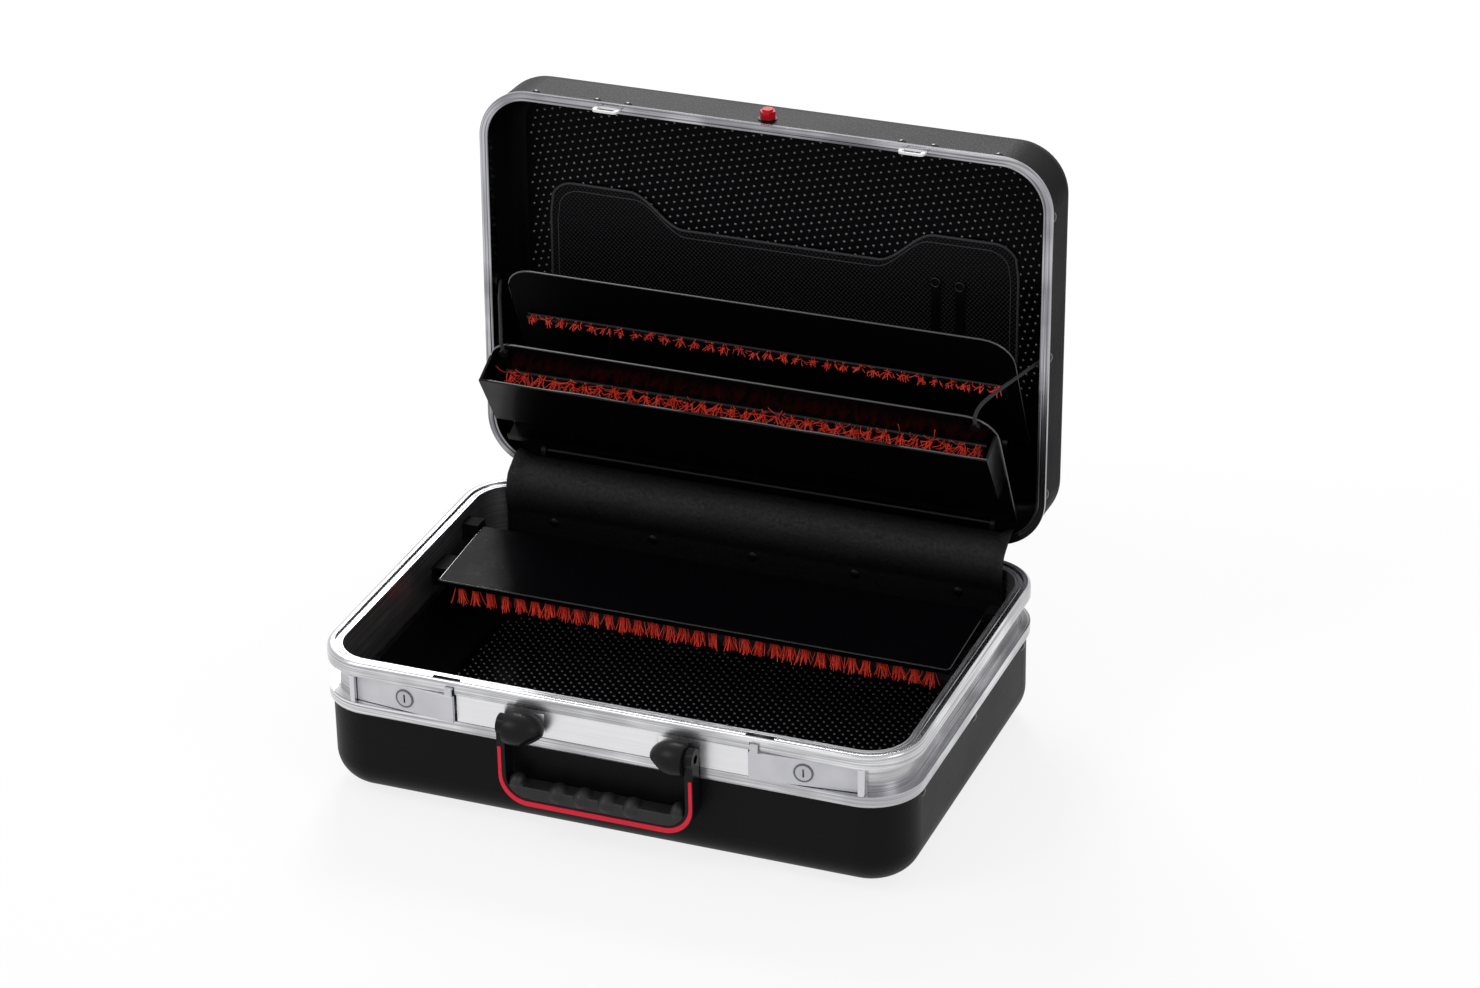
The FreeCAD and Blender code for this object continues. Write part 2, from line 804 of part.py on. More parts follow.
def knuckles(first):
    rings = []
    for index in range(first, knuckle_count, 2):
        start, length = knuckle_span(index)
        outer = rod((start, hinge_y, hinge_z), along_x, length, knuckle_radius)
        bore = rod((start - cut_overrun, hinge_y, hinge_z), along_x, length + cut_overrun * 2,
                   hinge_pin_radius + running_gap)
        rings.append(outer.cut(bore))
    return rings


def leaf_with_knuckles(path, first, other_side):
    """Bent leaf, cleared round the other leaf's knuckles, with its own knuckles fused on."""
    leaf = ribbon(path, leaf_thickness, -hinge_half_length, hinge_half_length)
    for index in range(other_side, knuckle_count, 2):
        start, length = knuckle_span(index)
        clear = rod((start - knuckle_gap, hinge_y, hinge_z), along_x, length + knuckle_gap * 2,
                    knuckle_radius + seat_gap)
        leaf = leaf.cut(clear)
    bore = rod((-hinge_half_length - cut_overrun, hinge_y, hinge_z), along_x,
               hinge_half_length * 2 + cut_overrun * 2, hinge_pin_radius + running_gap)
    return leaf.fuse(knuckles(first)).cut(bore).removeSplitter()


def base_leaf_path():
    plate_y = half_depth + leaf_thickness / 2
    level = hinge_z - knuckle_radius + leaf_thickness / 2
    return [(plate_y, level - leaf_height), (plate_y, level), (hinge_y, level)]


def lid_leaf_path():
    plate_y = half_depth - lid_shell_inset + leaf_thickness / 2
    step_y = half_depth + leaf_thickness / 2
    level = hinge_z + knuckle_radius - leaf_thickness / 2
    step_z = level + leaf_thickness * 2
    return [(hinge_y, level), (step_y, level), (plate_y, step_z), (plate_y, level + lid_leaf_height)]


def make_base_leaf():
    return leaf_with_knuckles(base_leaf_path(), 0, 1)


def make_lid_leaf():
    return leaf_with_knuckles(lid_leaf_path(), 1, 0)


def make_hinge_pin():
    return rod((-hinge_half_length, hinge_y, hinge_z), along_x, hinge_half_length * 2, hinge_pin_radius)


def leaf_rivet_heads(y, z):
    pitch = hinge_half_length * 2 / hinge_rivet_count
    heads = []
    for i in range(hinge_rivet_count):
        x = -hinge_half_length + (i + 1 / 2) * pitch
        heads.append(rod((x, y, z), along_y, hinge_rivet_height, hinge_rivet_radius))
    return heads


def make_base_leaf_rivets():
    z = hinge_z - knuckle_radius - leaf_height / 2
    return leaf_rivet_heads(half_depth + leaf_thickness, z)


def make_lid_leaf_rivets():
    z = hinge_z + knuckle_radius + lid_leaf_height - leaf_height / 2
    return leaf_rivet_heads(half_depth - lid_shell_inset + leaf_thickness, z)


def make_lid_stops():
    """Brackets on the base's rear whose sloped tops carry the opened lid's rear wall."""
    wall_y = half_depth - lid_shell_inset
    first = opened_yz(wall_y, base_top + stop_start)
    last = opened_yz(wall_y, base_top + stop_start + stop_length)
    low = base_top - stop_drop
    outline = [(half_depth, low), (half_depth + stop_thickness, low), (last[0], last[1] - stop_thickness),
               last, first, (half_depth, base_top - seat_gap)]
    stop = slab(outline, stop_x - stop_width / 2, stop_x + stop_width / 2)
    sweep = open_sweep_clearance()
    return both_sides(stop.cut(sweep))


def open_sweep_clearance():
    """Room that the closed lid's rear edge needs as it turns past the stops."""
    reach = math.hypot(hinge_out, hinge_rise) + seat_gap
    return rod((-half_width, hinge_y, hinge_z), along_x, case_width, reach)


# Tool board over the rear of the base
def board_slope():
    rise = base_board_rear_z - base_board_front_z
    return rise / (base_board_rear_y - base_board_front_y)


def board_under_z(y):
    return base_board_front_z + (y - base_board_front_y) * board_slope() - base_board_thickness


def board_axis_z():
    return board_under_z(base_board_rear_y) + base_board_thickness - base_board_hem_radius


def make_base_board():
    top = [(base_board_front_y, base_board_front_z), (base_board_rear_y, base_board_rear_z)]
    lip_z = base_board_front_z - base_board_lip
    lip_back = base_board_front_y + base_board_thickness
    outline = top + [(base_board_rear_y, board_under_z(base_board_rear_y)), (lip_back, board_under_z(lip_back)),
                     (lip_back, lip_z), (base_board_front_y, lip_z)]
    plate = slab(outline, -base_board_half_width, base_board_half_width)
    hem = rod((-base_board_half_width, base_board_rear_y, board_axis_z()), along_x,
              base_board_half_width * 2, base_board_hem_radius)
    pin_reach = base_board_half_width + board_bracket_reach
    pin = rod((-pin_reach, base_board_rear_y, board_axis_z()), along_x, pin_reach * 2, board_pin_radius)
    return plate.fuse(hem).fuse(pin).removeSplitter()


def make_board_brackets():
    start = base_board_half_width + bracket_gap
    low_z = board_axis_z() - board_bracket_height / 2
    block = box((start, base_board_rear_y - board_bracket_height / 2, low_z),
                (inner_wall_x, base_board_rear_y + board_bracket_height / 2, low_z + board_bracket_height))
    bore = rod((start - cut_overrun, base_board_rear_y, board_axis_z()), along_x,
               board_bracket_reach + cut_overrun, board_pin_radius + running_gap)
    return both_sides(block.cut(bore))


def make_board_ledges():
    """Angle brackets on the side walls that carry the front of the board."""
    start_y = base_board_front_y + ledge_start
    top = board_under_z(start_y) - running_gap
    shelf = box((inner_wall_x - ledge_reach, start_y, top - ledge_thickness),
                (inner_wall_x, start_y + ledge_length, top))
    web = box((inner_wall_x - ledge_thickness, start_y, top - ledge_drop),
              (inner_wall_x, start_y + ledge_length, top))
    return both_sides(shelf.fuse(web).removeSplitter())


def tuft_comb(pitch, root_y, root_z, along, out, thickness, length):
    """Strip of bristle tufts: a bar with teeth that widen to their tips.

    along is the direction the tufts point, out the direction of the strip's thickness."""
    half = tuft_count * pitch / 2
    points = [(-half, -tuft_back), (-half, 0)]
    for i in range(tuft_count):
        x = -half + (i + 1 / 2) * pitch
        points += [(x - tuft_width / 2, 0), (x - tuft_tip_width / 2, length),
                   (x + tuft_tip_width / 2, length), (x + tuft_width / 2, 0)]
    points += [(half, 0), (half, -tuft_back)]
    corners = [Vector(x, root_y, root_z) + along * reach for x, reach in points]
    face = Part.Face(Part.makePolygon(corners + corners[:1]))
    return face.extrude(out * thickness)


def make_base_bristles():
    under = board_under_z(base_board_front_y + base_board_thickness)
    return tuft_comb(tuft_pitch, base_board_front_y + base_board_thickness, under - tuft_back,
                     -along_z, along_y, tuft_thickness, tuft_length)


# Felt apron that covers the hinge from inside
def lid_open_yz(up, deep):
    return opened_yz(*lid_yz(up, deep))


def apron_path(curl):
    """Cross-section of the apron, moved off the walls by curl where it meets their round corners."""
    wall_y = half_depth - frame_face_width - seat_gap - apron_thickness / 2 - curl
    tail = [(wall_y, apron_rivet_z + apron_flat), (wall_y, apron_rivet_z), (wall_y, apron_rivet_z - apron_tail)]
    inner = opened_yz(*lid_yz(apron_inner_place[0] + curl, apron_inner_place[1]))
    lip = opened_yz(*lid_yz(apron_lip_place[0] + curl, apron_lip_place[1]))
    bulge = [(half_depth - back - curl, base_top + rise) for back, rise in apron_bulge]
    return [inner, lip] + bulge + tail


def make_apron():
    stations = ((-apron_half_width, apron_curl), (-apron_curl_start, 0),
                (apron_curl_start, 0), (apron_half_width, apron_curl))
    sections = [smooth_section(apron_path(curl), apron_thickness, x) for x, curl in stations]
    return Part.makeLoft(sections, True, True)


def make_apron_rivets():
    y = half_depth - frame_face_width - seat_gap * 2 - apron_thickness
    pitch = apron_rivet_x * 2 / (apron_rivet_count - 1)
    return [rivet_head((-apron_rivet_x + i * pitch, y, apron_rivet_z), (0, -1, 0))
            for i in range(apron_rivet_count)]


def rivet_head(place, direction):
    shank_free = rivet(place, direction, rivet_head_height)
    keep = Part.makeCylinder(rivet_head_radius + seat_gap, rivet_head_height + seat_gap,
                             Vector(*place), Vector(*direction))
    return shank_free.common(keep)


# Lid frame, shell, linings and fittings, drawn closed
def make_lid_frame():
    frame = ring(lid_outline, 0, lid_frame_face, lid_bottom, base_top + lid_frame_band)
    skirt_out = lid_shell_inset + shell_wall
    skirt = ring(lid_outline, skirt_out, skirt_out + lid_skirt_wall, base_top + lid_frame_band,
                 base_top + lid_frame_band + lid_skirt_height)
    groove = ring(lid_outline, lid_groove_inset, lid_groove_inset + lid_groove_width,
                  lid_bottom - cut_overrun, lid_bottom + lid_groove_depth)
    frame = frame.fuse(skirt).cut(groove)
    for place, outward in lid_rivet_places() + striker_rivet_places():
        frame = frame.cut(rivet_hole(place, outward, lid_rivet_grip))
    for side in (-1, 1):
        frame = frame.cut(striker_plate(side, running_gap))
    return frame.removeSplitter()


def make_lid_shell():
    bottom = base_top + lid_frame_band
    outer = prism(lid_outline, lid_shell_inset, bottom, lid_top)
    outer = outer.makeFillet(lid_edge_radius, level_edges(outer, lid_top))
    inner = prism(lid_outline, lid_shell_inset + shell_wall, bottom - cut_overrun, lid_top - shell_wall)
    inner = inner.makeFillet(lid_edge_radius - shell_wall, level_edges(inner, lid_top - shell_wall))
    shell = outer.cut(inner)
    for place, outward in lid_rivet_places() + striker_rivet_places():
        shell = shell.cut(rivet_hole(place, outward, lid_rivet_grip))
    return shell.removeSplitter()


def level_edges(shape, z):
    return [e for e in shape.Edges if all(abs(v.Z - z) < seat_gap for v in e.Vertexes)]


def make_lid_lining():
    inset = lid_shell_inset + lid_edge_radius
    return prism(lid_outline, inset, lining_face, lid_top - shell_wall)


def striker_plate(side, clearance):
    y = striker_setback - half_depth
    half = striker_width / 2 + clearance
    x = side * striker_x
    return box((x - half, y - clearance, base_top - striker_drop),
               (x + half, y + striker_thickness + clearance, base_top + striker_foot))


def make_striker(side):
    """Loop that stands out of the lid's mouth, with its foot let into the lid's frame."""
    y = striker_setback - half_depth
    half = striker_width / 2
    x = side * striker_x
    tip = base_top - striker_drop
    plate = striker_plate(side, 0)
    tip_edges = edges_along(plate, along_y, lambda p: p.z < tip + seat_gap)
    plate = plate.makeFillet(striker_side, tip_edges)
    window = box((x - half + striker_side, y - cut_overrun, tip + striker_bar),
                 (x + half - striker_side, y + striker_thickness + cut_overrun, base_top - seat_gap))
    return plate.cut(window)


def make_rivets(places, grip):
    return [rivet(place, outward, grip) for place, outward in places]


def hexagon(centre, radius, height):
    corners = [centre + Vector(radius * math.cos(math.pi / 3 * i), 0, radius * math.sin(math.pi / 3 * i))
               for i in range(6)]
    face = Part.Face(Part.makePolygon(corners + corners[:1]))
    return face.extrude(Vector(0, -height, 0))


def make_button():
    wall_y = lid_shell_inset - half_depth
    centre = Vector(0, wall_y - button_collar_height, base_top + button_depth)
    body = hexagon(centre, button_radius, button_height)
    cap = rod(centre - along_y * button_height, -along_y, button_cap_height, button_cap_radius)
    return body.fuse(cap).removeSplitter()


def make_button_collar():
    wall_y = lid_shell_inset - half_depth
    return rod((0, wall_y, base_top + button_depth), -along_y, button_collar_height, button_collar_radius)


# Document pocket, drawn as places across and up the lid
def pocket_edges(inset):
    """Closed outline of the pocket, set in by inset."""
    side = pocket_half_width - inset
    top = pocket_top - inset
    dip = pocket_dip - inset
    bottom = pocket_bottom + inset
    radius = pocket_corner_radius - inset
    corner = radius * (1 - math.sqrt(2) / 2)
    z = lining_face

    def place(x, up):
        return Vector(x, hinge_y - up, z)

    def swoop(sign):
        curve = Part.BezierCurve()
        middle = (pocket_shoulder_x + pocket_dip_x) / 2
        curve.setPoles([place(sign * pocket_shoulder_x, top), place(sign * middle, top),
                        place(sign * middle, dip), place(sign * pocket_dip_x, dip)])
        return curve.toShape()

    def top_corner(sign):
        return Part.Arc(place(sign * side, top - radius), place(sign * (side - corner), top - corner),
                        place(sign * (side - radius), top)).toShape()

    edges = [Part.makeLine(place(-pocket_dip_x, dip), place(pocket_dip_x, dip)),
             Part.makeLine(place(-side, bottom), place(side, bottom))]
    for sign in (-1, 1):
        edges += [swoop(sign), top_corner(sign),
                  Part.makeLine(place(sign * (side - radius), top), place(sign * pocket_shoulder_x, top)),
                  Part.makeLine(place(sign * side, top - radius), place(sign * side, bottom))]
    return Part.Wire(Part.__sortEdges__(edges))


def make_pocket():
    face = Part.Face(pocket_edges(piping_radius))
    return face.extrude(Vector(0, 0, -pocket_thickness))


def make_piping():
    """Flat-backed welt round the pocket's edge."""
    outer = Part.Face(pocket_edges(-piping_radius)).extrude(Vector(0, 0, -piping_radius * 2))
    inner = Part.Face(pocket_edges(piping_radius)).extrude(Vector(0, 0, -piping_radius * 2))
    return outer.cut(inner)


def make_key_tags():
    tags = []
    z = lining_face - pocket_thickness - tag_thickness
    for x, up in tag_places:
        y = hinge_y - up
        tag = box((x - tag_width / 2, y - tag_length, z), (x + tag_width / 2, y, z + tag_thickness))
        tags.append(tag)
    return tags


def make_key_rings():
    rings = []
    z = lining_face - pocket_thickness - tag_thickness - tag_ring_wire
    for x, up in tag_places:
        centre = Vector(x, hinge_y - up - tag_length + tag_ring_radius, z)
        rings.append(Part.makeTorus(tag_ring_radius, tag_ring_wire, centre, along_z))
    return rings


# Tilting boards, drawn flat against the lid and then leaned out about their pivots
def leaned(shape, up, deep, lean):
    y, z = lid_yz(up, deep)
    turned = shape.copy()
    turned.rotate(Vector(0, y, z), along_x, lean)
    return turned


def flat_board(up, deep, length):
    """Panel that runs from its pivot hem towards the lid's front, with rounded far corners."""
    y, z = lid_yz(up, deep)
    low_z = z - board_thickness / 2
    high_z = z + board_thickness / 2
    root_y = y - bracket_radius - bracket_gap
    panel = box((-board_half_width, y - length, low_z), (board_half_width, root_y, high_z))
    edges = edges_along(panel, along_z, lambda p: p.y < y - length + seat_gap)
    panel = panel.makeFillet(board_corner_radius, edges)
    root = box((-board_hem_half, root_y - cut_overrun, low_z), (board_hem_half, y, high_z))
    hem = rod((-board_hem_half, y, z), along_x, board_hem_half * 2, hem_radius)
    reach = board_hem_half + bracket_gap + bracket_thickness
    pin = rod((-reach, y, z), along_x, reach * 2, board_pin_radius)
    return panel.fuse(root).fuse(hem).fuse(pin).removeSplitter()


def board_yz(up, deep, place, out):
    """A point on a flat board: place along it from the pivot, out towards the mouth."""
    y, z = lid_yz(up, deep)
    return y - place, z - out


def front_yz(place, out):
    return board_yz(front_pivot_up, front_pivot_deep, place, out)


def make_front_board():
    return flat_board(front_pivot_up, front_pivot_deep, front_length)


def make_back_board():
    return flat_board(back_pivot_up, back_pivot_deep, back_length)


def make_trough():
    face_out = board_thickness / 2
    path = [front_yz(trough_bottom, face_out), front_yz(trough_bottom, trough_bottom_out),
            front_yz(trough_top, trough_top_out)]
    wall = ribbon(path, trough_wall, -board_half_width, board_half_width)
    end_outline = [front_yz(trough_bottom, face_out), front_yz(trough_bottom, trough_bottom_out),
                   front_yz(trough_top, trough_top_out), front_yz(trough_top, face_out)]
    trough = wall
    for side in (-1, 1):
        start = side * board_half_width
        trough = trough.fuse(slab(end_outline, start - side * trough_wall, start))
    return trough.removeSplitter()


def make_tip_rail():
    """Angle along the foot of the board, bored for the tips of tools."""
    face_out = board_thickness / 2
    path = [front_yz(rail_place, face_out), front_yz(rail_place, rail_out),
            front_yz(rail_place + rail_lip, rail_out)]
    rail = ribbon(path, rail_wall, -board_half_width, board_half_width)
    y, z = front_yz(rail_place, (face_out + rail_out) / 2)
    for i in range(rail_hole_count):
        x = (i - (rail_hole_count - 1) / 2) * rail_hole_pitch
        rail = rail.cut(rod((x, y - rail_wall, z), along_y, rail_wall * 2, rail_hole_radius))
    return rail


def make_trough_bristles():
    y, z = front_yz(trough_bristle_place, board_thickness / 2 + tuft_back)
    return tuft_comb(tuft_pitch, y, z, -along_z, -along_y, tuft_thickness, tuft_length)


def make_back_bristles():
    y, z = board_yz(back_pivot_up, back_pivot_deep, back_bristle_place, board_thickness / 2 + tuft_back)
    return tuft_comb(tuft_pitch, y, z, -along_z, -along_y, tuft_thickness, back_tuft_length)


def board_brackets(pivot, low, high):
    """Pair of arms that carry a board's pins, each with a foot block from low to high."""
    y, z = pivot
    start = board_hem_half + bracket_gap
    head = rod((start, y, z), along_x, bracket_thickness, bracket_radius)
    arm = box((start,) + low, (start + bracket_thickness,) + high)
    bore = rod((start - cut_overrun, y, z), along_x, bracket_thickness + cut_overrun * 2,
               board_pin_radius + running_gap)
    return both_sides(head.fuse(arm).cut(bore).removeSplitter())


def make_front_brackets():
    y, z = lid_yz(front_pivot_up, front_pivot_deep)
    wall_y = half_depth - lid_shell_inset - shell_wall - lid_skirt_wall - running_gap
    return board_brackets((y, z), (y, z - bracket_radius), (wall_y, z + bracket_radius))


def make_back_brackets():
    y, z = lid_yz(back_pivot_up, back_pivot_deep)
    return board_brackets((y, z), (y - bracket_radius, z), (y + bracket_radius, lining_face))


# Cords between the lid's side walls and the front board
def cord_points():
    places = [cord_anchor] + list(cord_route) + [cord_end()]
    return [Vector(x, *lid_open_yz(up, deep)) for x, up, deep in places]


def cord_end():
    lean = math.radians(front_lean_angle)
    along = front_length - grommet_radius + seat_gap * 2
    out = board_thickness / 2 + cord_radius + seat_gap
    up = front_pivot_up + along * math.cos(lean) - out * math.sin(lean)
    deep = front_pivot_deep - along * math.sin(lean) - out * math.cos(lean)
    return cord_end_x, up, deep


def make_cord():
    points = cord_points()
    curve = Part.BSplineCurve()
    curve.interpolate(points)
    spine = Part.Wire(curve.toShape())
    start = spine.Edges[0].tangentAt(spine.Edges[0].FirstParameter)
    section = Part.Wire(Part.makeCircle(cord_radius, points[0], start))
    return section_sweep(spine, section)


def section_sweep(spine, section):
    return spine.makePipeShell([section], True, True)


def make_cord_anchors():
    wall_x = lid_outline[0] - lid_shell_inset - shell_wall - lid_skirt_wall
    y, z = lid_yz(cord_anchor[1], cord_anchor[2])
    anchor = rod((wall_x, y, z), -along_x, anchor_height, anchor_radius)
    return both_sides(anchor)


def make_grommets():
    """Beads on the board's far corners that the cords end in, drawn flat."""
    y, z = front_yz(front_length - grommet_radius * 2, board_thickness / 2)
    bead = rod((cord_end_x, y, z), -along_z, grommet_height, grommet_radius)
    return both_sides(bead)


# Every piece, by name
def group(solids):
    return Part.makeCompound(solids) if isinstance(solids, list) else solids


def mirrored_pair(name, shape):
    return {name + "_right": shape, name + "_left": mirrored(shape)}


def each(function, solids, *values):
    if isinstance(solids, list):
        return [function(solid, *values) for solid in solids]
    return function(solids, *values)


def base_parts():
    parts = {
        "base_shell": make_base_shell(),
        "base_frame": make_base_frame(),
        "base_floor_lining": make_floor_lining(),
        "base_shell_rivets": make_base_rivets(),
        "front_strip": make_front_strip(),
        "latch_end_blocks": make_end_blocks(),
        "latch_lugs": make_latch_lugs(),
        "latch_pivot_pins": make_latch_pins(),
        "handle_pins": make_handle_pins(),
        "hinge_leaf_base": make_base_leaf(),
        "hinge_leaf_base_rivets": make_base_leaf_rivets(),
        "hinge_pin": make_hinge_pin(),
        "lid_stops": make_lid_stops(),
        "base_board_brackets": make_board_brackets(),
        "base_board_ledges": make_board_ledges(),
        "base_board": make_base_board(),
        "base_board_bristles": make_base_bristles(),
        "apron": make_apron(),
        "apron_rivets": make_apron_rivets(),
        "handle_bail": make_bail(),
        "handle_inlay": make_inlay(),
        "handle_grip": make_grip(),
    }
    parts.update(mirrored_pair("handle_boss", make_boss()))
    parts.update(mirrored_pair("latch_plate", tilted(flush_latch())))
    parts.update(mirrored_pair("lock_cylinder", tilted(flush_lock())))
    parts.update(mirrored_pair("lock_ring", tilted(flush_lock_ring())))
    return parts


def lid_parts():
    closed = {
        "lid_shell": make_lid_shell(),
        "lid_frame": make_lid_frame(),
        "lid_lining": make_lid_lining(),
        "lid_side_rivets": make_rivets(lid_rivet_places(), lid_rivet_grip),
        "striker_rivets": make_rivets(striker_rivet_places(), lid_rivet_grip),
        "striker_right": make_striker(1),
        "striker_left": make_striker(-1),
        "lid_button": make_button(),
        "lid_button_collar": make_button_collar(),
        "hinge_leaf_lid": make_lid_leaf(),
        "hinge_leaf_lid_rivets": make_lid_leaf_rivets(),
        "document_pocket": make_pocket(),
        "pocket_piping": make_piping(),
        "key_tags": make_key_tags(),
        "key_rings": make_key_rings(),
        "front_board_brackets": make_front_brackets(),
        "back_board_brackets": make_back_brackets(),
        "cord_anchors": make_cord_anchors(),
    }
    on_front = {
        "front_board": make_front_board(),
        "board_trough": make_trough(),
        "board_tip_rail": make_tip_rail(),
        "trough_bristles": make_trough_bristles(),
        "cord_grommets": make_grommets(),
    }
    on_back = {
        "back_board": make_back_board(),
        "back_board_bristles": make_back_bristles(),
    }
    for name, solids in on_front.items():
        closed[name] = each(leaned, solids, front_pivot_up, front_pivot_deep, front_lean_angle)
    for name, solids in on_back.items():
        closed[name] = each(leaned, solids, back_pivot_up, back_pivot_deep, back_lean_angle)
    parts = {name: each(open_lid, solids) for name, solids in closed.items()}
    parts.update(mirrored_pair("board_cord", make_cord()))
    return parts


def write_parts():
    os.makedirs("parts", exist_ok=True)
    parts = {**base_parts(), **lid_parts()}
    for name, solids in parts.items():
        shape = group(solids)
        pieces = shape.Solids
        sound = shape.isValid() and bool(pieces)
        print(name, len(pieces), "valid" if sound else "NOT VALID")
        shape.exportStep("parts/" + name + ".step")
    print(len(parts), "parts")


write_parts()
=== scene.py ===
import json
import math
import random

import bmesh
import bpy
from mathutils import Matrix, Vector


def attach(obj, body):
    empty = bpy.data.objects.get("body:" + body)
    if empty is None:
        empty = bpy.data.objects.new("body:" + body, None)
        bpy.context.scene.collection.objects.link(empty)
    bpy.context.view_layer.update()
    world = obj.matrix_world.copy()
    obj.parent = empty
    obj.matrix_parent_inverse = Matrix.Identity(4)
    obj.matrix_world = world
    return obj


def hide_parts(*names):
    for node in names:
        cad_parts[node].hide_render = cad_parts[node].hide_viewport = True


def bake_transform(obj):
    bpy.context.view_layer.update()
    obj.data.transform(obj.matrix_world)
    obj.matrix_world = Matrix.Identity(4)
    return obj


# The hard tool case in its visual finish. X runs along the width, Y from the front to the hinge, Z up, and
# the lid is open. Blender works in metres: sizes and places written in millimetres are multiplied by MM.
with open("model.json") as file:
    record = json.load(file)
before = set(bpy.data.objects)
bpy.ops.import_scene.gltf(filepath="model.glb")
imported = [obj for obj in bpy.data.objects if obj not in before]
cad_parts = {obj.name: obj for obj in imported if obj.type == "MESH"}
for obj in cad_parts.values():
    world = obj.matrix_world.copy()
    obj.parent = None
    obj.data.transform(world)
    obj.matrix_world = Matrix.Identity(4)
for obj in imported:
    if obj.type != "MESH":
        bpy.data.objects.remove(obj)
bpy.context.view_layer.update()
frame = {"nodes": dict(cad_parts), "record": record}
MM = 0.001
LID_OPEN = math.radians(92)
HINGE = Vector((0, 168.2, 122.4))

# Sizes that several pieces share, in millimetres
CORNER_MIDDLE = (198, 120)
MOUTH_DROP = 2.4
BOARD_HALF = 212
BOARD_CORNER = 24
FRONT_LENGTH = 136
BACK_LENGTH = 124
POCKET_HALF = 197
POCKET_FOOT = 100
POCKET_DEPTH = 46.2
HANDLE_Y = -170
HANDLE_Z = 97


# Camera at the photograph's place
def place_camera():
    sensor_width = 36
    picture_width = 1480
    focal_pixels = 4510.9
    place = (1.179, -2.8006, 1.7932)
    turn, dip, roll = (math.radians(a) for a in (21.96, 27.39, -1.1))
    ahead = Vector((-math.sin(turn) * math.cos(dip), math.cos(turn) * math.cos(dip), -math.sin(dip)))
    level = Vector((math.cos(turn), math.sin(turn), 0))
    over = level.cross(ahead)
    right = level * math.cos(roll) + over * math.sin(roll)
    up = over * math.cos(roll) - level * math.sin(roll)
    camera = bpy.data.objects.new("camera", bpy.data.cameras.new("camera"))
    camera.data.sensor_width = sensor_width
    camera.data.lens = focal_pixels / picture_width * sensor_width
    camera.data.clip_end = 50
    camera.matrix_world = Matrix.Translation(place) @ Matrix((right, up, -ahead)).transposed().to_4x4()
    bpy.context.collection.objects.link(camera)
    bpy.context.scene.camera = camera


# Material helpers
def linear(colour):
    """A hex sRGB colour as linear values."""
    parts = [int(colour[i:i + 2], 16) / 255 for i in (1, 3, 5)]
    return tuple(p / 12.92 if p <= 0.04045 else ((p + 0.055) / 1.055) ** 2.4 for p in parts) + (1.0,)


def add_node(tree, kind, inputs=(), into=None, output=0, **settings):
    """Adds a node and sets its properties. Its inputs, by name or number, are filled, or linked to a socket
    or to a node's first output, and one of its own outputs may be linked into a socket."""
    node = tree.nodes.new("ShaderNode" + kind)
    for name, value in settings.items():
        setattr(node, name, value)
    for name, value in dict(inputs).items():
        if isinstance(value, bpy.types.Node):
            value = value.outputs[0]
        if isinstance(value, bpy.types.NodeSocket):
            tree.links.new(value, node.inputs[name])
        else:
            node.inputs[name].default_value = value
    if into is not None:
        tree.links.new(node.outputs[output], into)
    return node


def new_finish(name, colour, roughness, metallic=0.0, **sockets):
    """A material with its shader set; returns the material, its tree, its shader and Object coordinates."""
    finish = bpy.data.materials.new(name)
    finish.use_nodes = True
    tree = finish.node_tree
    shader = tree.nodes["Principled BSDF"]
    shader.inputs["Base Color"].default_value = linear(colour)
    shader.inputs["Roughness"].default_value = roughness
    shader.inputs["Metallic"].default_value = metallic
    for key, value in sockets.items():
        shader.inputs[key.replace("_", " ")].default_value = value
    place = add_node(tree, "TexCoord").outputs["Object"]
    return finish, tree, shader, place


# Lights, floor and background
def seen_by(tree, *kinds):
    """1 for the rays of these kinds and 0 for all others."""
    path = add_node(tree, "LightPath")
    seen = path.outputs["Is " + kinds[0] + " Ray"]
    for kind in kinds[1:]:
        seen = add_node(tree, "Math", {0: seen, 1: path.outputs["Is " + kind + " Ray"]}, operation="MAXIMUM")
    return seen


def make_world():
    """White to look at, and a dimmer white as a light."""
    world = bpy.data.worlds.new("studio")
    bpy.context.scene.world = world
    world.use_nodes = True
    tree = world.node_tree
    tree.nodes.clear()
    dim = add_node(tree, "Background", {"Color": linear("#ffffff"), "Strength": 0.55})
    white = add_node(tree, "Background", {"Color": linear("#ffffff"), "Strength": 1.0})
    seen = seen_by(tree, "Camera", "Transmission", "Glossy")
    mix = add_node(tree, "MixShader", {0: seen, 1: dim, 2: white})
    add_node(tree, "OutputWorld", {"Surface": mix})


def add_lamps():
    """A key and a fill lamp in front, and a strong one behind that lights the rims."""
    aim = Vector((0, 0.05, 0.2))
    for name, place, size, power in (
            ("key", (-1.5, -1.4, 2.4), 1.2, 20),
            ("fill", (2.4, -0.9, 1.5), 1.2, 10),
            ("rear", (-0.9, 2.2, 2.25), 1.0, 56)):
        lamp = bpy.data.lights.new(name, "AREA")
        lamp.size = size
        lamp.energy = power
        holder = bpy.data.objects.new(name, lamp)
        holder.location = place
        holder.rotation_euler = (aim - Vector(place)).to_track_quat("-Z", "Y").to_euler()
        bpy.context.collection.objects.link(holder)


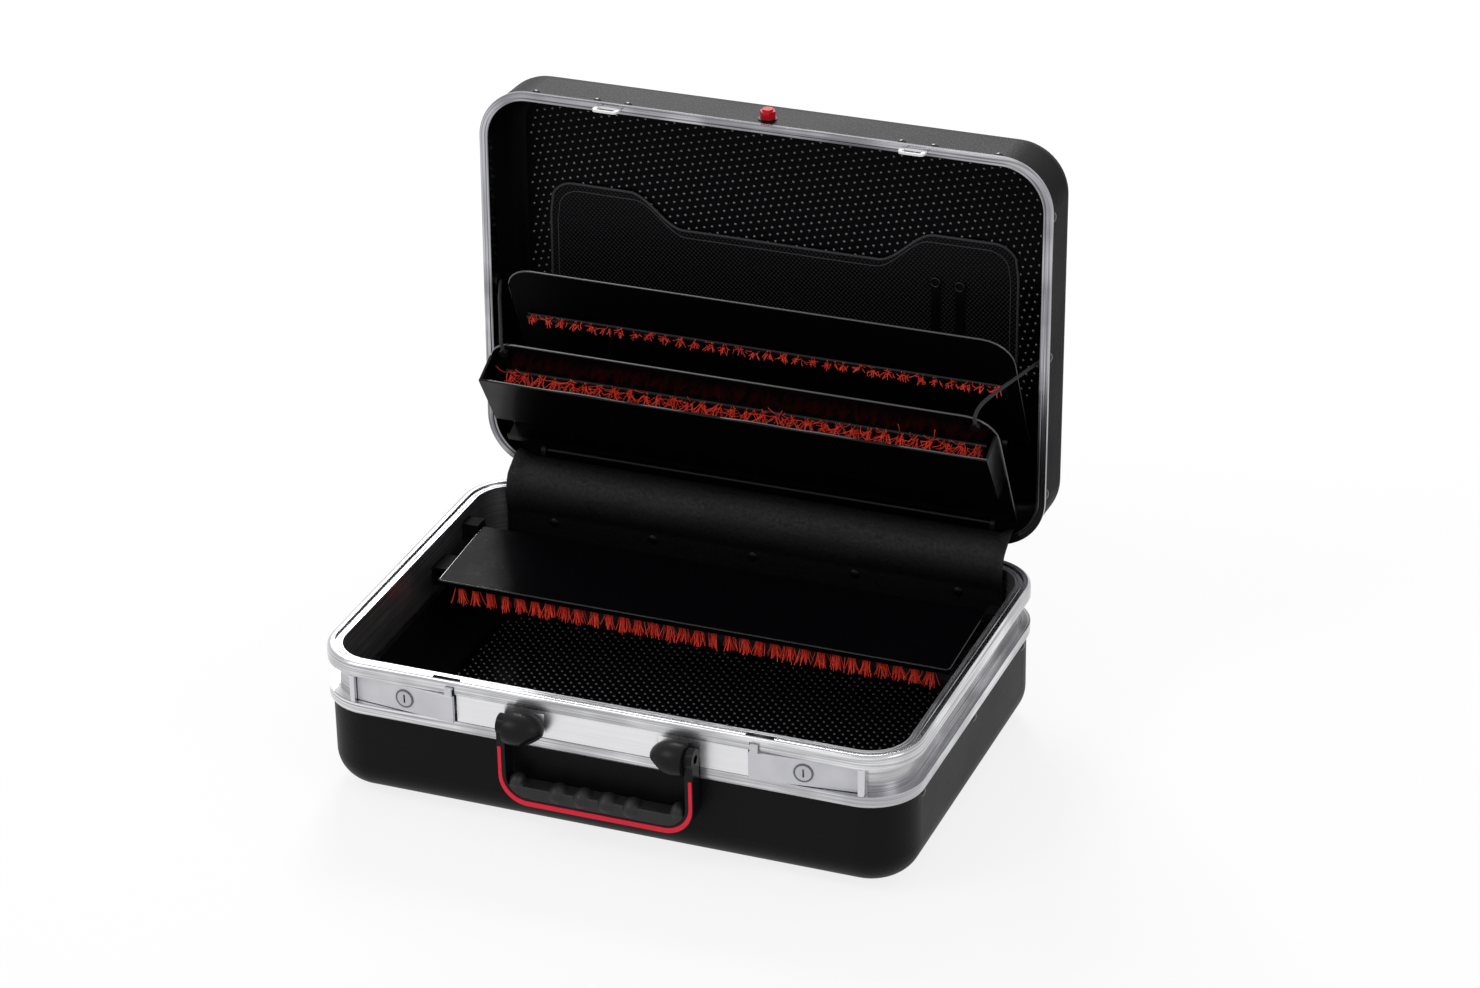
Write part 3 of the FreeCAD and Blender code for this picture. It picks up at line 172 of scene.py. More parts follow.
def make_floor():
    """White paper under the case, which glows a little to the camera and to metal but keeps the shadow."""
    glow_share = 0.82
    bpy.ops.object.select_all(action="DESELECT")
    bpy.ops.mesh.primitive_plane_add(size=14, location=(0, 0, 0))
    floor = bpy.context.object
    floor.name = "floor"
    paper = bpy.data.materials.new("white_paper_sweep")
    paper.use_nodes = True
    tree = paper.node_tree
    shader = tree.nodes["Principled BSDF"]
    shader.inputs["Base Color"].default_value = linear("#f4f4f4")
    shader.inputs["Roughness"].default_value = 0.9
    glow = add_node(tree, "Emission", {"Color": linear("#ffffff"), "Strength": 1.0})
    seen = seen_by(tree, "Camera", "Glossy")
    share = add_node(tree, "Math", {0: seen, 1: glow_share}, operation="MULTIPLY")
    add_node(tree, "MixShader", {0: share, 1: shader, 2: glow},
             tree.nodes["Material Output"].inputs["Surface"])
    floor.data.materials.append(paper)


# Finishes
def along_outline(tree, place):
    """Coordinates that follow the case's rounded outline: the way out past its corner middles, the height,
    and slowly along it."""
    far_above = 9000
    corner = Vector((*CORNER_MIDDLE, far_above)) * MM
    near = add_node(tree, "VectorMath", {0: place}, operation="ABSOLUTE")
    past = add_node(tree, "VectorMath", {0: near, 1: corner}, operation="SUBTRACT")
    kept = add_node(tree, "VectorMath", {0: past, 1: (0, 0, 0)}, operation="MAXIMUM")
    outward = add_node(tree, "VectorMath", {0: kept}, operation="LENGTH")
    height = add_node(tree, "SeparateXYZ", {0: place})
    along = add_node(tree, "VectorMath", {0: place, 1: (0.012, 0.012, 0)}, operation="DOT_PRODUCT")
    return add_node(tree, "CombineXYZ", {0: outward.outputs["Value"], 1: height.outputs[2],
                                         2: along.outputs["Value"]})


def extruded_aluminium(name, dark, light, lines_mm=1.7, lid=False, inner_mm=0, rough=(0.23, 0.11)):
    """Anodised aluminium extrusion: mirror-like at its bends, with fine die lines along it, and a base
    colour streaked along it and
    darkened in large clouds: the streaks partly its own and partly painted reflection, the clouds painted
    reflection of dark surroundings. Satin on faces that lie less than inner_mm past the corner middles.
    rough gives its roughness where it is dull and where it is polished. lid is for the open lid."""
    satin = 0.34
    fade_mm = 0.5
    finish, tree, shader, place = new_finish(name, light, 0.24, 1.0)
    if lid:
        shut = {"Vector": place, "Center": tuple(HINGE * MM), "Angle": LID_OPEN}
        place = add_node(tree, "VectorRotate", shut, rotation_type="X_AXIS").outputs[0]
    run = along_outline(tree, place)
    streaks = add_node(tree, "TexNoise", {"Vector": run, "Scale": 1 / (1.5 * MM), "Detail": 2.0})
    cloud = add_node(tree, "TexNoise", {"Vector": place, "Scale": 1 / (55 * MM), "Detail": 2.0})
    # Painted reflection: the streaks along the run are partly the extrusion's own and partly painted
    # reflection, and the large dark clouds are painted reflection of dark surroundings
    streak = add_node(tree, "MapRange", {"Value": streaks, "From Min": 0.3, "From Max": 0.62})
    painted_reflection_clouds = add_node(tree, "MapRange", {"Value": cloud, "From Min": 0.4, "From Max": 0.6, "To Min": 0.45})
    streak_and_painted_reflection = add_node(tree, "Math", {0: streak, 1: painted_reflection_clouds}, operation="MULTIPLY")
    add_node(tree, "Mix", {0: streak_and_painted_reflection, 6: linear(dark), 7: linear(light)}, shader.inputs["Base Color"], 2,
             data_type="RGBA")
    polish = add_node(tree, "MapRange", {"Value": cloud, "To Min": rough[0], "To Max": rough[1]})
    outward = add_node(tree, "SeparateXYZ", {0: run})
    outside = add_node(tree, "MapRange", {"Value": outward, "From Min": inner_mm * MM,
                                          "From Max": (inner_mm + fade_mm) * MM})
    add_node(tree, "Mix", {0: outside, 2: satin, 3: polish}, shader.inputs["Roughness"])
    die_lines = add_node(tree, "TexNoise", {"Vector": run, "Scale": 1 / (lines_mm * MM), "Detail": 0.5})
    add_node(tree, "Bump", {"Height": die_lines, "Distance": 0.005 * MM, "Strength": 0.3},
             shader.inputs["Normal"])
    return finish


def grained_abs(name, colour, side_shine=None):
    """Vacuum-formed ABS with a leather grain: dark, with a broad satin sheen on faces turned to the light.
    If side_shine is given, the side walls keep only that share of the sheen, a lowered specular level that
    is painted shade."""
    wall_start, wall_full = 0.212, 0.234
    gloss = 0.09
    finish, tree, shader, place = new_finish(name, colour, 0.42, Specular_IOR_Level=gloss)
    # Painted shade: the side walls' specular level drops to the share side_shine
    if side_shine is not None:
        near = add_node(tree, "VectorMath", {0: place}, operation="ABSOLUTE")
        across = add_node(tree, "SeparateXYZ", {0: near})
        add_node(tree, "MapRange", {"Value": across, "From Min": wall_start, "From Max": wall_full,
                                    "To Min": gloss, "To Max": gloss * side_shine},
                 shader.inputs["Specular IOR Level"])
    cloud = add_node(tree, "TexNoise", {"Vector": place, "Scale": 1 / (70 * MM), "Detail": 3.0})
    add_node(tree, "MapRange", {"Value": cloud, "To Min": 0.38, "To Max": 0.52}, shader.inputs["Roughness"])
    cells = add_node(tree, "TexVoronoi", {"Vector": place, "Scale": 1 / (1.9 * MM)}, feature="SMOOTH_F1")
    leather = add_node(tree, "Bump", {"Height": cells, "Distance": 0.25 * MM, "Strength": 0.6})
    pores = add_node(tree, "TexNoise", {"Vector": place, "Scale": 1 / (0.7 * MM), "Detail": 3.0})
    add_node(tree, "Bump", {"Height": pores, "Distance": 0.06 * MM, "Strength": 0.35, "Normal": leather},
             shader.inputs["Normal"])
    return finish


def plain_plastic(name, colour, roughness, grain_mm, depth_mm, gloss=0.5):
    """Moulded plastic or lacquer with a faint spark-eroded texture that softens its reflections."""
    finish, tree, shader, place = new_finish(name, colour, roughness, Specular_IOR_Level=gloss)
    cloud = add_node(tree, "TexNoise", {"Vector": place, "Scale": 1 / (35 * MM), "Detail": 2.0})
    add_node(tree, "MapRange", {"Value": cloud, "To Min": roughness * 0.85, "To Max": roughness * 1.2},
             shader.inputs["Roughness"])
    grain = add_node(tree, "TexNoise", {"Vector": place, "Scale": 1 / (grain_mm * MM), "Detail": 2.0})
    add_node(tree, "Bump", {"Height": grain, "Distance": depth_mm * MM, "Strength": 0.6},
             shader.inputs["Normal"])
    return finish


def board_sheet(name, roughness, gloss):
    """Black polypropylene sheet: smooth and slightly wavy, so its reflections swim."""
    finish, tree, shader, place = new_finish(name, "#060507", roughness, Specular_IOR_Level=gloss)
    scuffs = add_node(tree, "TexNoise", {"Vector": place, "Scale": 1 / (4 * MM), "Detail": 4.0})
    add_node(tree, "MapRange", {"Value": scuffs, "To Min": roughness * 0.7, "To Max": roughness * 1.4},
             shader.inputs["Roughness"])
    waves = add_node(tree, "TexNoise", {"Vector": place, "Scale": 1 / (45 * MM), "Detail": 1.0})
    add_node(tree, "Bump", {"Height": waves, "Distance": 1.2 * MM, "Strength": 0.6}, shader.inputs["Normal"])
    return finish


def plated_steel(name, colour, roughness):
    """Plated steel: grey, softly bright, with faint rolling marks."""
    finish, tree, shader, place = new_finish(name, colour, roughness, 1.0)
    drawn_out = add_node(tree, "Mapping", {"Vector": place, "Scale": (0.08, 1, 1)})
    marks = add_node(tree, "TexNoise", {"Vector": drawn_out, "Scale": 1 / (0.6 * MM), "Detail": 2.0})
    add_node(tree, "MapRange", {"Value": marks, "To Min": roughness * 0.8, "To Max": roughness * 1.25},
             shader.inputs["Roughness"])
    add_node(tree, "Bump", {"Height": marks, "Distance": 0.01 * MM, "Strength": 0.4},
             shader.inputs["Normal"])
    return finish


def satin_lacquer(name, dark, light):
    """Silver lacquer over die-cast zinc: even, satin, with the very fine sparkle of its pigment."""
    finish, tree, shader, place = new_finish(name, dark, 0.42, 0.55)
    cloud = add_node(tree, "TexNoise", {"Vector": place, "Scale": 1 / (25 * MM), "Detail": 2.0})
    add_node(tree, "Mix", {0: cloud, 6: linear(dark), 7: linear(light)}, shader.inputs["Base Color"], 2,
             data_type="RGBA")
    sparkle = add_node(tree, "TexNoise", {"Vector": place, "Scale": 1 / (0.5 * MM), "Detail": 2.0})
    add_node(tree, "MapRange", {"Value": sparkle, "To Min": 0.36, "To Max": 0.5}, shader.inputs["Roughness"])
    return finish


def filament(name, dark, light):
    """Red nylon bristle: glossy hairs that vary a little from one to the next."""
    finish, tree, shader, place = new_finish(name, dark, 0.38, Specular_IOR_Level=0.3)
    upright = add_node(tree, "Mapping", {"Vector": place, "Scale": (1, 1, 0.12)})
    hairs = add_node(tree, "TexNoise", {"Vector": upright, "Scale": 1 / (1.3 * MM), "Detail": 2.0})
    add_node(tree, "Mix", {0: hairs, 6: linear(dark), 7: linear(light)}, shader.inputs["Base Color"], 2,
             data_type="RGBA")
    return finish


def needled_felt():
    """Black needled polyester felt of matted fibres, drawn coarser than real ones, so as to show. Its
    specular level
    falls along the cloth from the lid down: a painted sheen on the upper bulge and painted shade where the
    cloth hangs."""
    finish, tree, shader, place = new_finish("needled_felt", "#0a090b", 0.55)
    mottle = add_node(tree, "TexNoise", {"Vector": place, "Scale": 1 / (3 * MM), "Detail": 6.0,
                                         "Roughness": 0.7})
    patch = add_node(tree, "MapRange", {"Value": mottle, "From Min": 0.36, "From Max": 0.66})
    add_node(tree, "Mix", {0: patch, 6: linear("#010101"), 7: linear("#0b0a0c")},
             shader.inputs["Base Color"], 2, data_type="RGBA")
    add_node(tree, "MapRange", {"Value": patch, "To Min": 0.8, "To Max": 0.38}, shader.inputs["Roughness"])
    # Painted sheen and shade: the specular level is set by place along the cloth, high near the lid and low
    # where it hangs
    length = add_node(tree, "SeparateXYZ", {0: add_node(tree, "TexCoord").outputs["UV"]})
    add_node(tree, "MapRange", {"Value": length.outputs[1], "From Min": 0.42, "From Max": 0.66,
                                "To Min": 0.36, "To Max": 0.1}, shader.inputs["Specular IOR Level"])
    matted = add_node(tree, "Bump", {"Height": mottle, "Distance": 1.3 * MM, "Strength": 0.6})
    fibre = add_node(tree, "TexNoise", {"Vector": place, "Scale": 1 / (0.9 * MM), "Detail": 4.0,
                                        "Distortion": 1.2})
    add_node(tree, "Bump", {"Height": fibre, "Distance": 0.7 * MM, "Strength": 0.8, "Normal": matted},
             shader.inputs["Normal"])
    return finish


def pocket_mesh():
    """Knitted polyester mesh over dark backing: a net of grey threads round small black holes."""
    finish, tree, shader, place = new_finish("knitted_mesh", "#0b0a0c", 0.5, Specular_IOR_Level=0.07)
    parts = add_node(tree, "SeparateXYZ", {0: place})
    front = add_node(tree, "CombineXYZ", {0: parts.outputs[0], 1: parts.outputs[2]})
    turned = add_node(tree, "Mapping", {"Vector": front, "Rotation": (0, 0, math.radians(38))})
    holes = add_node(tree, "TexVoronoi", {"Vector": turned, "Scale": 1 / (2.7 * MM), "Randomness": 0.0},
                     voronoi_dimensions="2D")
    thread = add_node(tree, "MapRange", {"Value": holes, "From Min": 0.38, "From Max": 0.62})
    add_node(tree, "Mix", {0: thread, 6: linear("#010101"), 7: linear("#343236")},
             shader.inputs["Base Color"], 2, data_type="RGBA")
    add_node(tree, "Bump", {"Height": thread, "Distance": 0.8 * MM, "Strength": 1.0},
             shader.inputs["Normal"])
    return finish


def woven_tape(name, dark, light):
    """Woven binding tape: a fine rib across a grey edge."""
    finish, tree, shader, place = new_finish(name, dark, 0.8)
    rib = add_node(tree, "TexNoise", {"Vector": place, "Scale": 1 / (0.9 * MM), "Detail": 2.0})
    add_node(tree, "Mix", {0: rib, 6: linear(dark), 7: linear(light)}, shader.inputs["Base Color"], 2,
             data_type="RGBA")
    add_node(tree, "Bump", {"Height": rib, "Distance": 0.2 * MM, "Strength": 0.8}, shader.inputs["Normal"])
    return finish


def make_finishes():
    """Every finish under the material slot or the special name that asks for it. A plain plastic's numbers
    are its roughness, its grain's width and depth in millimetres, and its gloss."""
    return {
        # Shells: black, and the lid's side walls duller, with painted shade from a specular level lowered
        # there
        "black_shell": grained_abs("grained_abs", "#0d0c0e"),
        "lid_abs": grained_abs("lid_abs_shaded_sides", "#0d0c0e", 0.2),
        # Frames and front strip: bright, the lid's rim painted greyer as shade, the strip plain and pale
        "bright_aluminium": extruded_aluminium("bright_dipped_aluminium", "#96969a", "#e6e6e8",
                                               inner_mm=33.4, rough=(0.3, 0.18)),
        "lid_aluminium": extruded_aluminium("lid_rim_aluminium_painted_shade", "#5a5a5f", "#bcbcc0", lid=True),
        "satin_strip": extruded_aluminium("brushed_strip", "#e2e2e4", "#eaeaec", 6.0, inner_mm=50),
        # Linings: nearly black, with pimples painted grey as a highlight and shiny
        "pimpled_lining": plain_plastic("lining_polyethylene", "#050406", 0.3, 1.5, 0.03, 0.03),
        "pimple_painted_highlight": plain_plastic("pimple_painted_highlight", "#4a484c", 0.24, 0.8, 0.01, 1.0),
        # Boards: the front one glossy, the others scuffed dull, all with an edge painted paler as a
        # highlight
        "board_sheet": board_sheet("polypropylene_sheet", 0.2, 0.16),
        "scuffed_sheet": board_sheet("scuffed_polypropylene", 0.3, 0.025),
        "rubbed_sheet": board_sheet("rubbed_polypropylene", 0.42, 0.012),
        "board_edge": plain_plastic("sheet_edge_painted_highlight", "#1c1b1e", 0.16, 2.0, 0.02, 1.0),
        # Latches and locks: silver lacquer round a darker ring and a grey cylinder
        "satin_latch": satin_lacquer("silver_lacquer", "#b9b9bf", "#d8d8dc"),
        "lock_plate": plated_steel("lock_plating", "#68686c", 0.28),
        "lock_face": plated_steel("lock_face", "#b6b6ba", 0.34),
        # Small steel: nickel shines, zinc is greyer, the tag rings are nearly black
        "chrome_fittings": plated_steel("nickel_plate", "#cfcfd2", 0.16),
        "steel_fittings": plated_steel("zinc_plate", "#a8a9ad", 0.3),
        "key_ring": plated_steel("tag_ring_wire", "#2b2b2e", 0.35),
        # Rivets and small black mouldings: a gloss on the rivets, a dull face on the rest
        "black_rivet": plain_plastic("black_lacquered_rivet", "#141315", 0.2, 1.0, 0.01, 0.35),
        "dull_rivet": plain_plastic("dull_rivet", "#060507", 0.35, 1.0, 0.01, 0.1),
        "black_plastic": plain_plastic("moulded_nylon", "#0b0a0c", 0.4, 1.2, 0.03, 0.2),
        "dull_nylon": plain_plastic("dull_nylon", "#070608", 0.6, 1.2, 0.03, 0.06),
        "tag_plastic": plain_plastic("black_tag", "#070608", 0.3, 1.2, 0.02, 0.2),
        # Handle: hard satin nylon, a soft matt grip, and a coral line
        "handle_plastic": plain_plastic("glass_filled_nylon", "#100f11", 0.34, 1.0, 0.03, 0.15),
        "grip_rubber": plain_plastic("soft_grip", "#181719", 0.48, 1.0, 0.4, 0.35),
        "red_inlay": plain_plastic("coral_soft_inlay", "#e2203a", 0.45, 1.0, 0.02, 0.25),
        # The lid's button and strikers: glossy red, and white lacquer
        "red_button": plain_plastic("red_gloss_cap", "#c4101f", 0.22, 1.0, 0.01),
        "white_striker": plain_plastic("white_lacquered_steel", "#e8e8ea", 0.3, 1.0, 0.01),
        # Soft goods
        "red_bristle": filament("red_nylon_bristle", "#ff3a28", "#ff5c46"),
        "felt": needled_felt(),
        "mesh_fabric": pocket_mesh(),
        "piping": woven_tape("binding_tape", "#151416", "#3c3a3e"),
        "cord_braid": woven_tape("braided_cord", "#070708", "#333135"),
    }


# The CAD nodes take the finish of their material slot, but for these
SPECIAL_FINISHES = {
    "lid_frame": "lid_aluminium",
    "lid_shell": "lid_abs",
    "apron_rivets": "dull_rivet",
    "base_board": "scuffed_sheet",
    "back_board": "rubbed_sheet",
    "base_board_ledges": "dull_nylon",
    "base_board_brackets": "dull_nylon",
    "key_rings": "key_ring",
    "striker_right": "white_striker",
    "striker_left": "white_striker",
    "lock_ring_right": "lock_plate",
    "lock_ring_left": "lock_plate",
    "lock_cylinder_right": "lock_face",
    "lock_cylinder_left": "lock_face",
}
finishes = make_finishes()
slots = {part["node"]: part["material_slot"] for part in frame["record"]["subparts"]}
for node, part in frame["nodes"].items():
    part.data.materials.clear()
    part.data.materials.append(finishes[SPECIAL_FINISHES.get(node, slots[node])])


# Places in the open lid and on its boards, given in millimetres
def in_lid(x, up, deep):
    """up from the lid's hinge edge, deep behind its mouth."""
    closed = Vector((0, -up, deep - MOUTH_DROP))
    return (HINGE + Matrix.Rotation(-LID_OPEN, 3, "X") @ closed + Vector((x, 0, 0))) * MM


def on_board(x, place, out, pivot_up, pivot_deep, lean):
    """place along a leaned board from its pivot, out towards the lid's mouth."""
    lean = math.radians(lean)
    return in_lid(x, pivot_up + place * math.cos(lean) - out * math.sin(lean),
                  pivot_deep - place * math.sin(lean) - out * math.cos(lean))


def on_front_board(x, place, out):
    return on_board(x, place, out, pivot_up=18.5, pivot_deep=13.0, lean=28.9)


def on_back_board(x, place, out):
    return on_board(x, place, out, pivot_up=75.0, pivot_deep=40.0, lean=26.5)


# Modelling helpers
def deselect():
    """Leaves edit mode and selects nothing."""
    if bpy.context.object and bpy.context.object.mode != "OBJECT":
        bpy.ops.object.mode_set(mode="OBJECT")
    bpy.ops.object.select_all(action="DESELECT")


def select_only(piece):
    deselect()
    piece.select_set(True)
    bpy.context.view_layer.objects.active = piece


def edit_all(piece):
    select_only(piece)
    bpy.ops.object.mode_set(mode="EDIT")
    bpy.ops.mesh.select_all(action="SELECT")


def leave_edit():
    bpy.ops.object.mode_set(mode="OBJECT")


def added(name):
    """The object that an operator has just made, under its name."""
    piece = bpy.context.object
    piece.name = name
    return piece


def removed(piece):
    """Removes an object and its mesh."""
    mesh = piece.data
    bpy.data.objects.remove(piece)
    bpy.data.meshes.remove(mesh)


def settle(piece):
    """Puts the object's place and modifiers into its mesh."""
    select_only(piece)
    bpy.ops.object.transform_apply(location=True, rotation=True, scale=True)
    for modifier in list(piece.modifiers):
        bpy.ops.object.modifier_apply(modifier=modifier.name)


def join(pieces, active):
    """Joins the pieces into the active one."""
    deselect()
    for piece in pieces:
        piece.select_set(True)
    bpy.context.view_layer.objects.active = active
    bpy.ops.object.join()


def pick(piece, kind, wanted):
    """Selects, in edit mode, the faces or edges whose middle and direction pass the test."""
    bpy.ops.object.mode_set(mode="EDIT")
    bpy.ops.mesh.select_mode(type=kind)
    bpy.ops.mesh.select_all(action="DESELECT")
    mesh = bmesh.from_edit_mesh(piece.data)
    for part in mesh.faces if kind == "FACE" else mesh.edges:
        corners = [vertex.co for vertex in part.verts]
        middle = sum(corners, Vector()) / len(corners)
        facing = part.normal if kind == "FACE" else (corners[1] - corners[0]).normalized()
        part.select_set(wanted(middle, facing))
    bmesh.update_edit_mesh(piece.data)


def finished(piece, body, slot, replaces=(), smooth=40, finish=None):
    """Settles a piece, gives it its slot's finish or its own one, and hangs it on its body."""
    settle(piece)
    bpy.ops.object.shade_smooth_by_angle(angle=math.radians(smooth))
    piece.data.materials.clear()
    piece.data.materials.append(finishes[finish or slot])
    if body:
        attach(piece, body)
    if replaces:
        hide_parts(*replaces)
    return piece


def copies(name, source, places):
    """A mesh that holds a copy of the source at each of the places; the source goes."""
    gathered = bmesh.new()
    for place in places:
        single = source.data.copy()
        single.transform(place)
        gathered.from_mesh(single)
        bpy.data.meshes.remove(single)
    mesh = bpy.data.meshes.new(name)
    gathered.to_mesh(mesh)
    gathered.free()
    piece = bpy.data.objects.new(name, mesh)
    bpy.context.collection.objects.link(piece)
    removed(source)
    return piece


def cloth(name, columns, rows, place):
    """A grid whose point at shares (u, v) is put at place(u, v)."""
    deselect()
    bpy.ops.mesh.primitive_grid_add(x_subdivisions=columns, y_subdivisions=rows, size=1, location=(0, 0, 0))
    piece = added(name)
    for vertex in piece.data.vertices:
        vertex.co = place(vertex.co.x + 0.5, vertex.co.y + 0.5)
    return piece


def thicken(piece, thickness_mm):
    """Gives a cloth its thickness and softens its folds."""
    solid = piece.modifiers.new("thickness", "SOLIDIFY")
    solid.thickness = thickness_mm * MM
    solid.offset = 0
    smooth = piece.modifiers.new("smoothing", "SUBSURF")
    smooth.levels = 1
    smooth.render_levels = 1


def round_edges(piece, width_mm, segments=2):
    bevel = piece.modifiers.new("edges", "BEVEL")
    bevel.width = width_mm * MM
    bevel.segments = segments
    bevel.limit_method = "ANGLE"


def new_curve(name, kind, points):
    """A curve object through or along the points, and its spline."""
    curve = bpy.data.curves.new(name, "CURVE")
    curve.dimensions = "3D"
    line = curve.splines.new(kind)
    line.points.add(len(points) - 1)
    for knot, point in zip(line.points, points):
        knot.co = tuple(point) + (1,)
    piece = bpy.data.objects.new(name, curve)
    bpy.context.collection.objects.link(piece)
    return piece, line


def swept(name, points, radius_mm):
    """Round bar along the points."""
    piece, line = new_curve(name, "POLY", points)
    piece.data.bevel_depth = radius_mm * MM
    piece.data.bevel_resolution = 2
    piece.data.use_fill_caps = True
    select_only(piece)
    bpy.ops.object.convert(target="MESH")
    return added(name)


# Bristles: tufts of nylon hairs that grow from a folded channel
def bent_hair(length, bend):
    """One hair: a small ring extruded three times, turned a little more each time."""
    steps = 3
    deselect()
    bpy.ops.mesh.primitive_circle_add(vertices=4, radius=0.29 * MM, fill_type="NGON", location=(0, 0, 0))
    hair = added("hair")
    edit_all(hair)
    spot = Vector((0, 0, 0))
    for step in range(steps):
        ahead = Matrix.Rotation(bend * (step + 0.5), 3, "Y") @ Vector((0, 0, length / steps * MM))
        spot += ahead
        bpy.ops.mesh.extrude_region_move(TRANSFORM_OT_translate={"value": ahead})
        bpy.ops.transform.rotate(value=-bend, orient_axis="Y", center_override=spot)
    edit_all(hair)
    bpy.ops.mesh.normals_make_consistent(inside=False)
    leave_edit()
    return hair


def bristle_strip(name, root, along, across, length, hairs, seed, spread, bend):
    """Tufts of hairs that point along; root is the middle of the strip, in metres."""
    tufts = 32
    pitch = 12.6
    reach = 4.6
    channel = (0.5, 3.4)
    shares = (0.8, 1.02)
    dice = random.Random(seed)
    side = Vector((1, 0, 0))
    upright = Matrix((side, along.cross(side), along)).transposed().to_4x4()
    places = []
    for tuft in range(tufts):
        for _ in range(hairs):
            x = (tuft - (tufts - 1) / 2) * pitch + dice.triangular(-reach, reach, 0)
            shift = side * x * MM + across * dice.uniform(*channel) * MM
            lean = Matrix.Rotation(dice.gauss(0, spread), 4, "Y")
            lean = lean @ Matrix.Rotation(dice.gauss(0, spread), 4, "X")
            turn = Matrix.Rotation(dice.uniform(0, 2 * math.pi), 4, "Z")
            stretch = Matrix.Diagonal((1, 1, dice.uniform(*shares), 1))
            places.append(Matrix.Translation(root + shift) @ upright @ lean @ turn @ stretch)
    return copies(name, bent_hair(length, bend), places)


def bristle_channel(name, place, height, depth, body):
    """Folded channel that grips the hairs' roots: a long bar with its mouth pressed in."""
    deselect()
    bpy.ops.mesh.primitive_cube_add(size=1, location=(0, 0, 0))
    channel = added(name)
    channel.scale = Vector((403.6, height, depth)) * MM
    settle(channel)
    pick(channel, "FACE", lambda middle, facing: facing.z > 0.9)
    bpy.ops.mesh.inset(thickness=0.8 * MM)
    bpy.ops.transform.translate(value=(0, 0, -1 * MM))
    leave_edit()
    channel.matrix_world = place
    round_edges(channel, 0.3)
    finished(channel, body, "black_plastic")


def make_base_bristles():
    down = Vector((0, 0, -1))
    back = Vector((0, 1, 0))
    root = Vector((0, 14.5, 97.0)) * MM
    tufts = bristle_strip("base_bristle_tufts", root, down, back, length=16.4, hairs=22, seed=3,
                          spread=0.13, bend=math.radians(6))
    finished(tufts, "base_board", "red_bristle", ["base_board_bristles"])
    turned = Matrix.Translation(Vector((0, 16.5, 96.4)) * MM) @ Matrix.Rotation(math.pi, 4, "X")
    bristle_channel("base_bristle_channel", turned, height=3.6, depth=3.6, body="base_board")


def make_lid_bristles():
    for name, surface, place, length, hairs, spread, bend, node, body in (
            ("trough", on_front_board, 101, 15.6, 15, 0.36, 0.34, "trough_bristles", "front_board"),
            ("back", on_back_board, 70, 8.2, 12, 0.3, 0.3, "back_board_bristles", "back_board")):
        out = (surface(0, place, 6) - surface(0, place, 5)).normalized()
        along = (surface(0, place + 1, 5) - surface(0, place, 5)).normalized()
        root = surface(0, place, 2.4)
        tufts = bristle_strip(name + "_bristle_tufts", root, out, along, length, hairs, seed=5,
                              spread=spread, bend=bend)
        finished(tufts, body, "red_bristle", [node])
        upright = Matrix((out.cross(along), out, along)).transposed().to_4x4()
        upright = Matrix.Translation(surface(0, place + 2, 3.1)) @ upright
        bristle_channel(name + "_bristle_channel", upright, height=3.4, depth=3.6, body=body)


# Raised pimples of the two linings
def lattice(half_x, low, high, corner):
    """Places of a triangular pattern, turned a little, inside a rounded rectangle, in millimetres."""
    pitch = 6.8
    turn = Matrix.Rotation(math.radians(14), 2)
    middle = (low + high) / 2
    half_y = (high - low) / 2
    reach = int(1.5 * half_x / pitch)
    for row in range(-reach, reach + 1):
        for column in range(-reach, reach + 1):
            spot = Vector(((column + row / 2) * pitch, row * pitch * math.sqrt(3) / 2))
            spot.rotate(turn)
            past_x = max(abs(spot.x) - half_x + corner, 0)
            past_y = max(abs(spot.y) - half_y + corner, 0)
            if abs(spot.x) < half_x and abs(spot.y) < half_y and math.hypot(past_x, past_y) < corner:
                yield spot.x, middle + spot.y


def pimple():
    """Low dome, its foot a little below the lining's face."""
    foot = 0.1 * MM
    deselect()
    bpy.ops.mesh.primitive_uv_sphere_add(segments=7, ring_count=6, radius=1.25 * MM, location=(0, 0, 0))
    dome = added("pimple")
    edit_all(dome)
    bpy.ops.mesh.bisect(plane_co=(0, 0, foot), plane_no=(0, 0, 1), clear_inner=True)
    leave_edit()
    dome.scale = (1, 1, 0.8)
    dome.location = (0, 0, -foot)
    settle(dome)
    return dome


def make_pimples():
    floor_height = 9
    lining_depth = 47
    floor = [Matrix.Translation(Vector((x, y, floor_height)) * MM)
             for x, y in lattice(half_x=207, low=-129, high=129, corner=14)]
    # The pimples take a paler grey finish than the lining, a painted highlight
    finished(copies("base_lining_pimples", pimple(), floor), "base", "pimpled_lining", finish="pimple_painted_highlight")
    turn = Matrix.Rotation(math.pi - LID_OPEN, 4, "X")
    back = [Matrix.Translation(in_lid(x, up, lining_depth)) @ turn
            for x, up in lattice(half_x=214, low=112, high=308, corner=18)]
    finished(copies("lid_lining_pimples", pimple(), back), "lid", "pimpled_lining", finish="pimple_painted_highlight")


# Document pocket: a mesh panel with a swept top edge, bound with tape
def pocket_top(x):
    """Height of the pocket's upper edge at x: low in the middle, high and rounded at each side."""
    corner = 20
    corner_height = 220
    low = 213.5
    high = corner_height + corner
    slope_start, slope_end = 82, 128
    x = abs(x)
    past = x - (POCKET_HALF - corner)
    if past > 0:
        return corner_height + math.sqrt(max(corner ** 2 - past ** 2, 0))
    share = min(max((x - slope_start) / (slope_end - slope_start), 0), 1)
    return low + (high - low) * share * share * (3 - 2 * share)


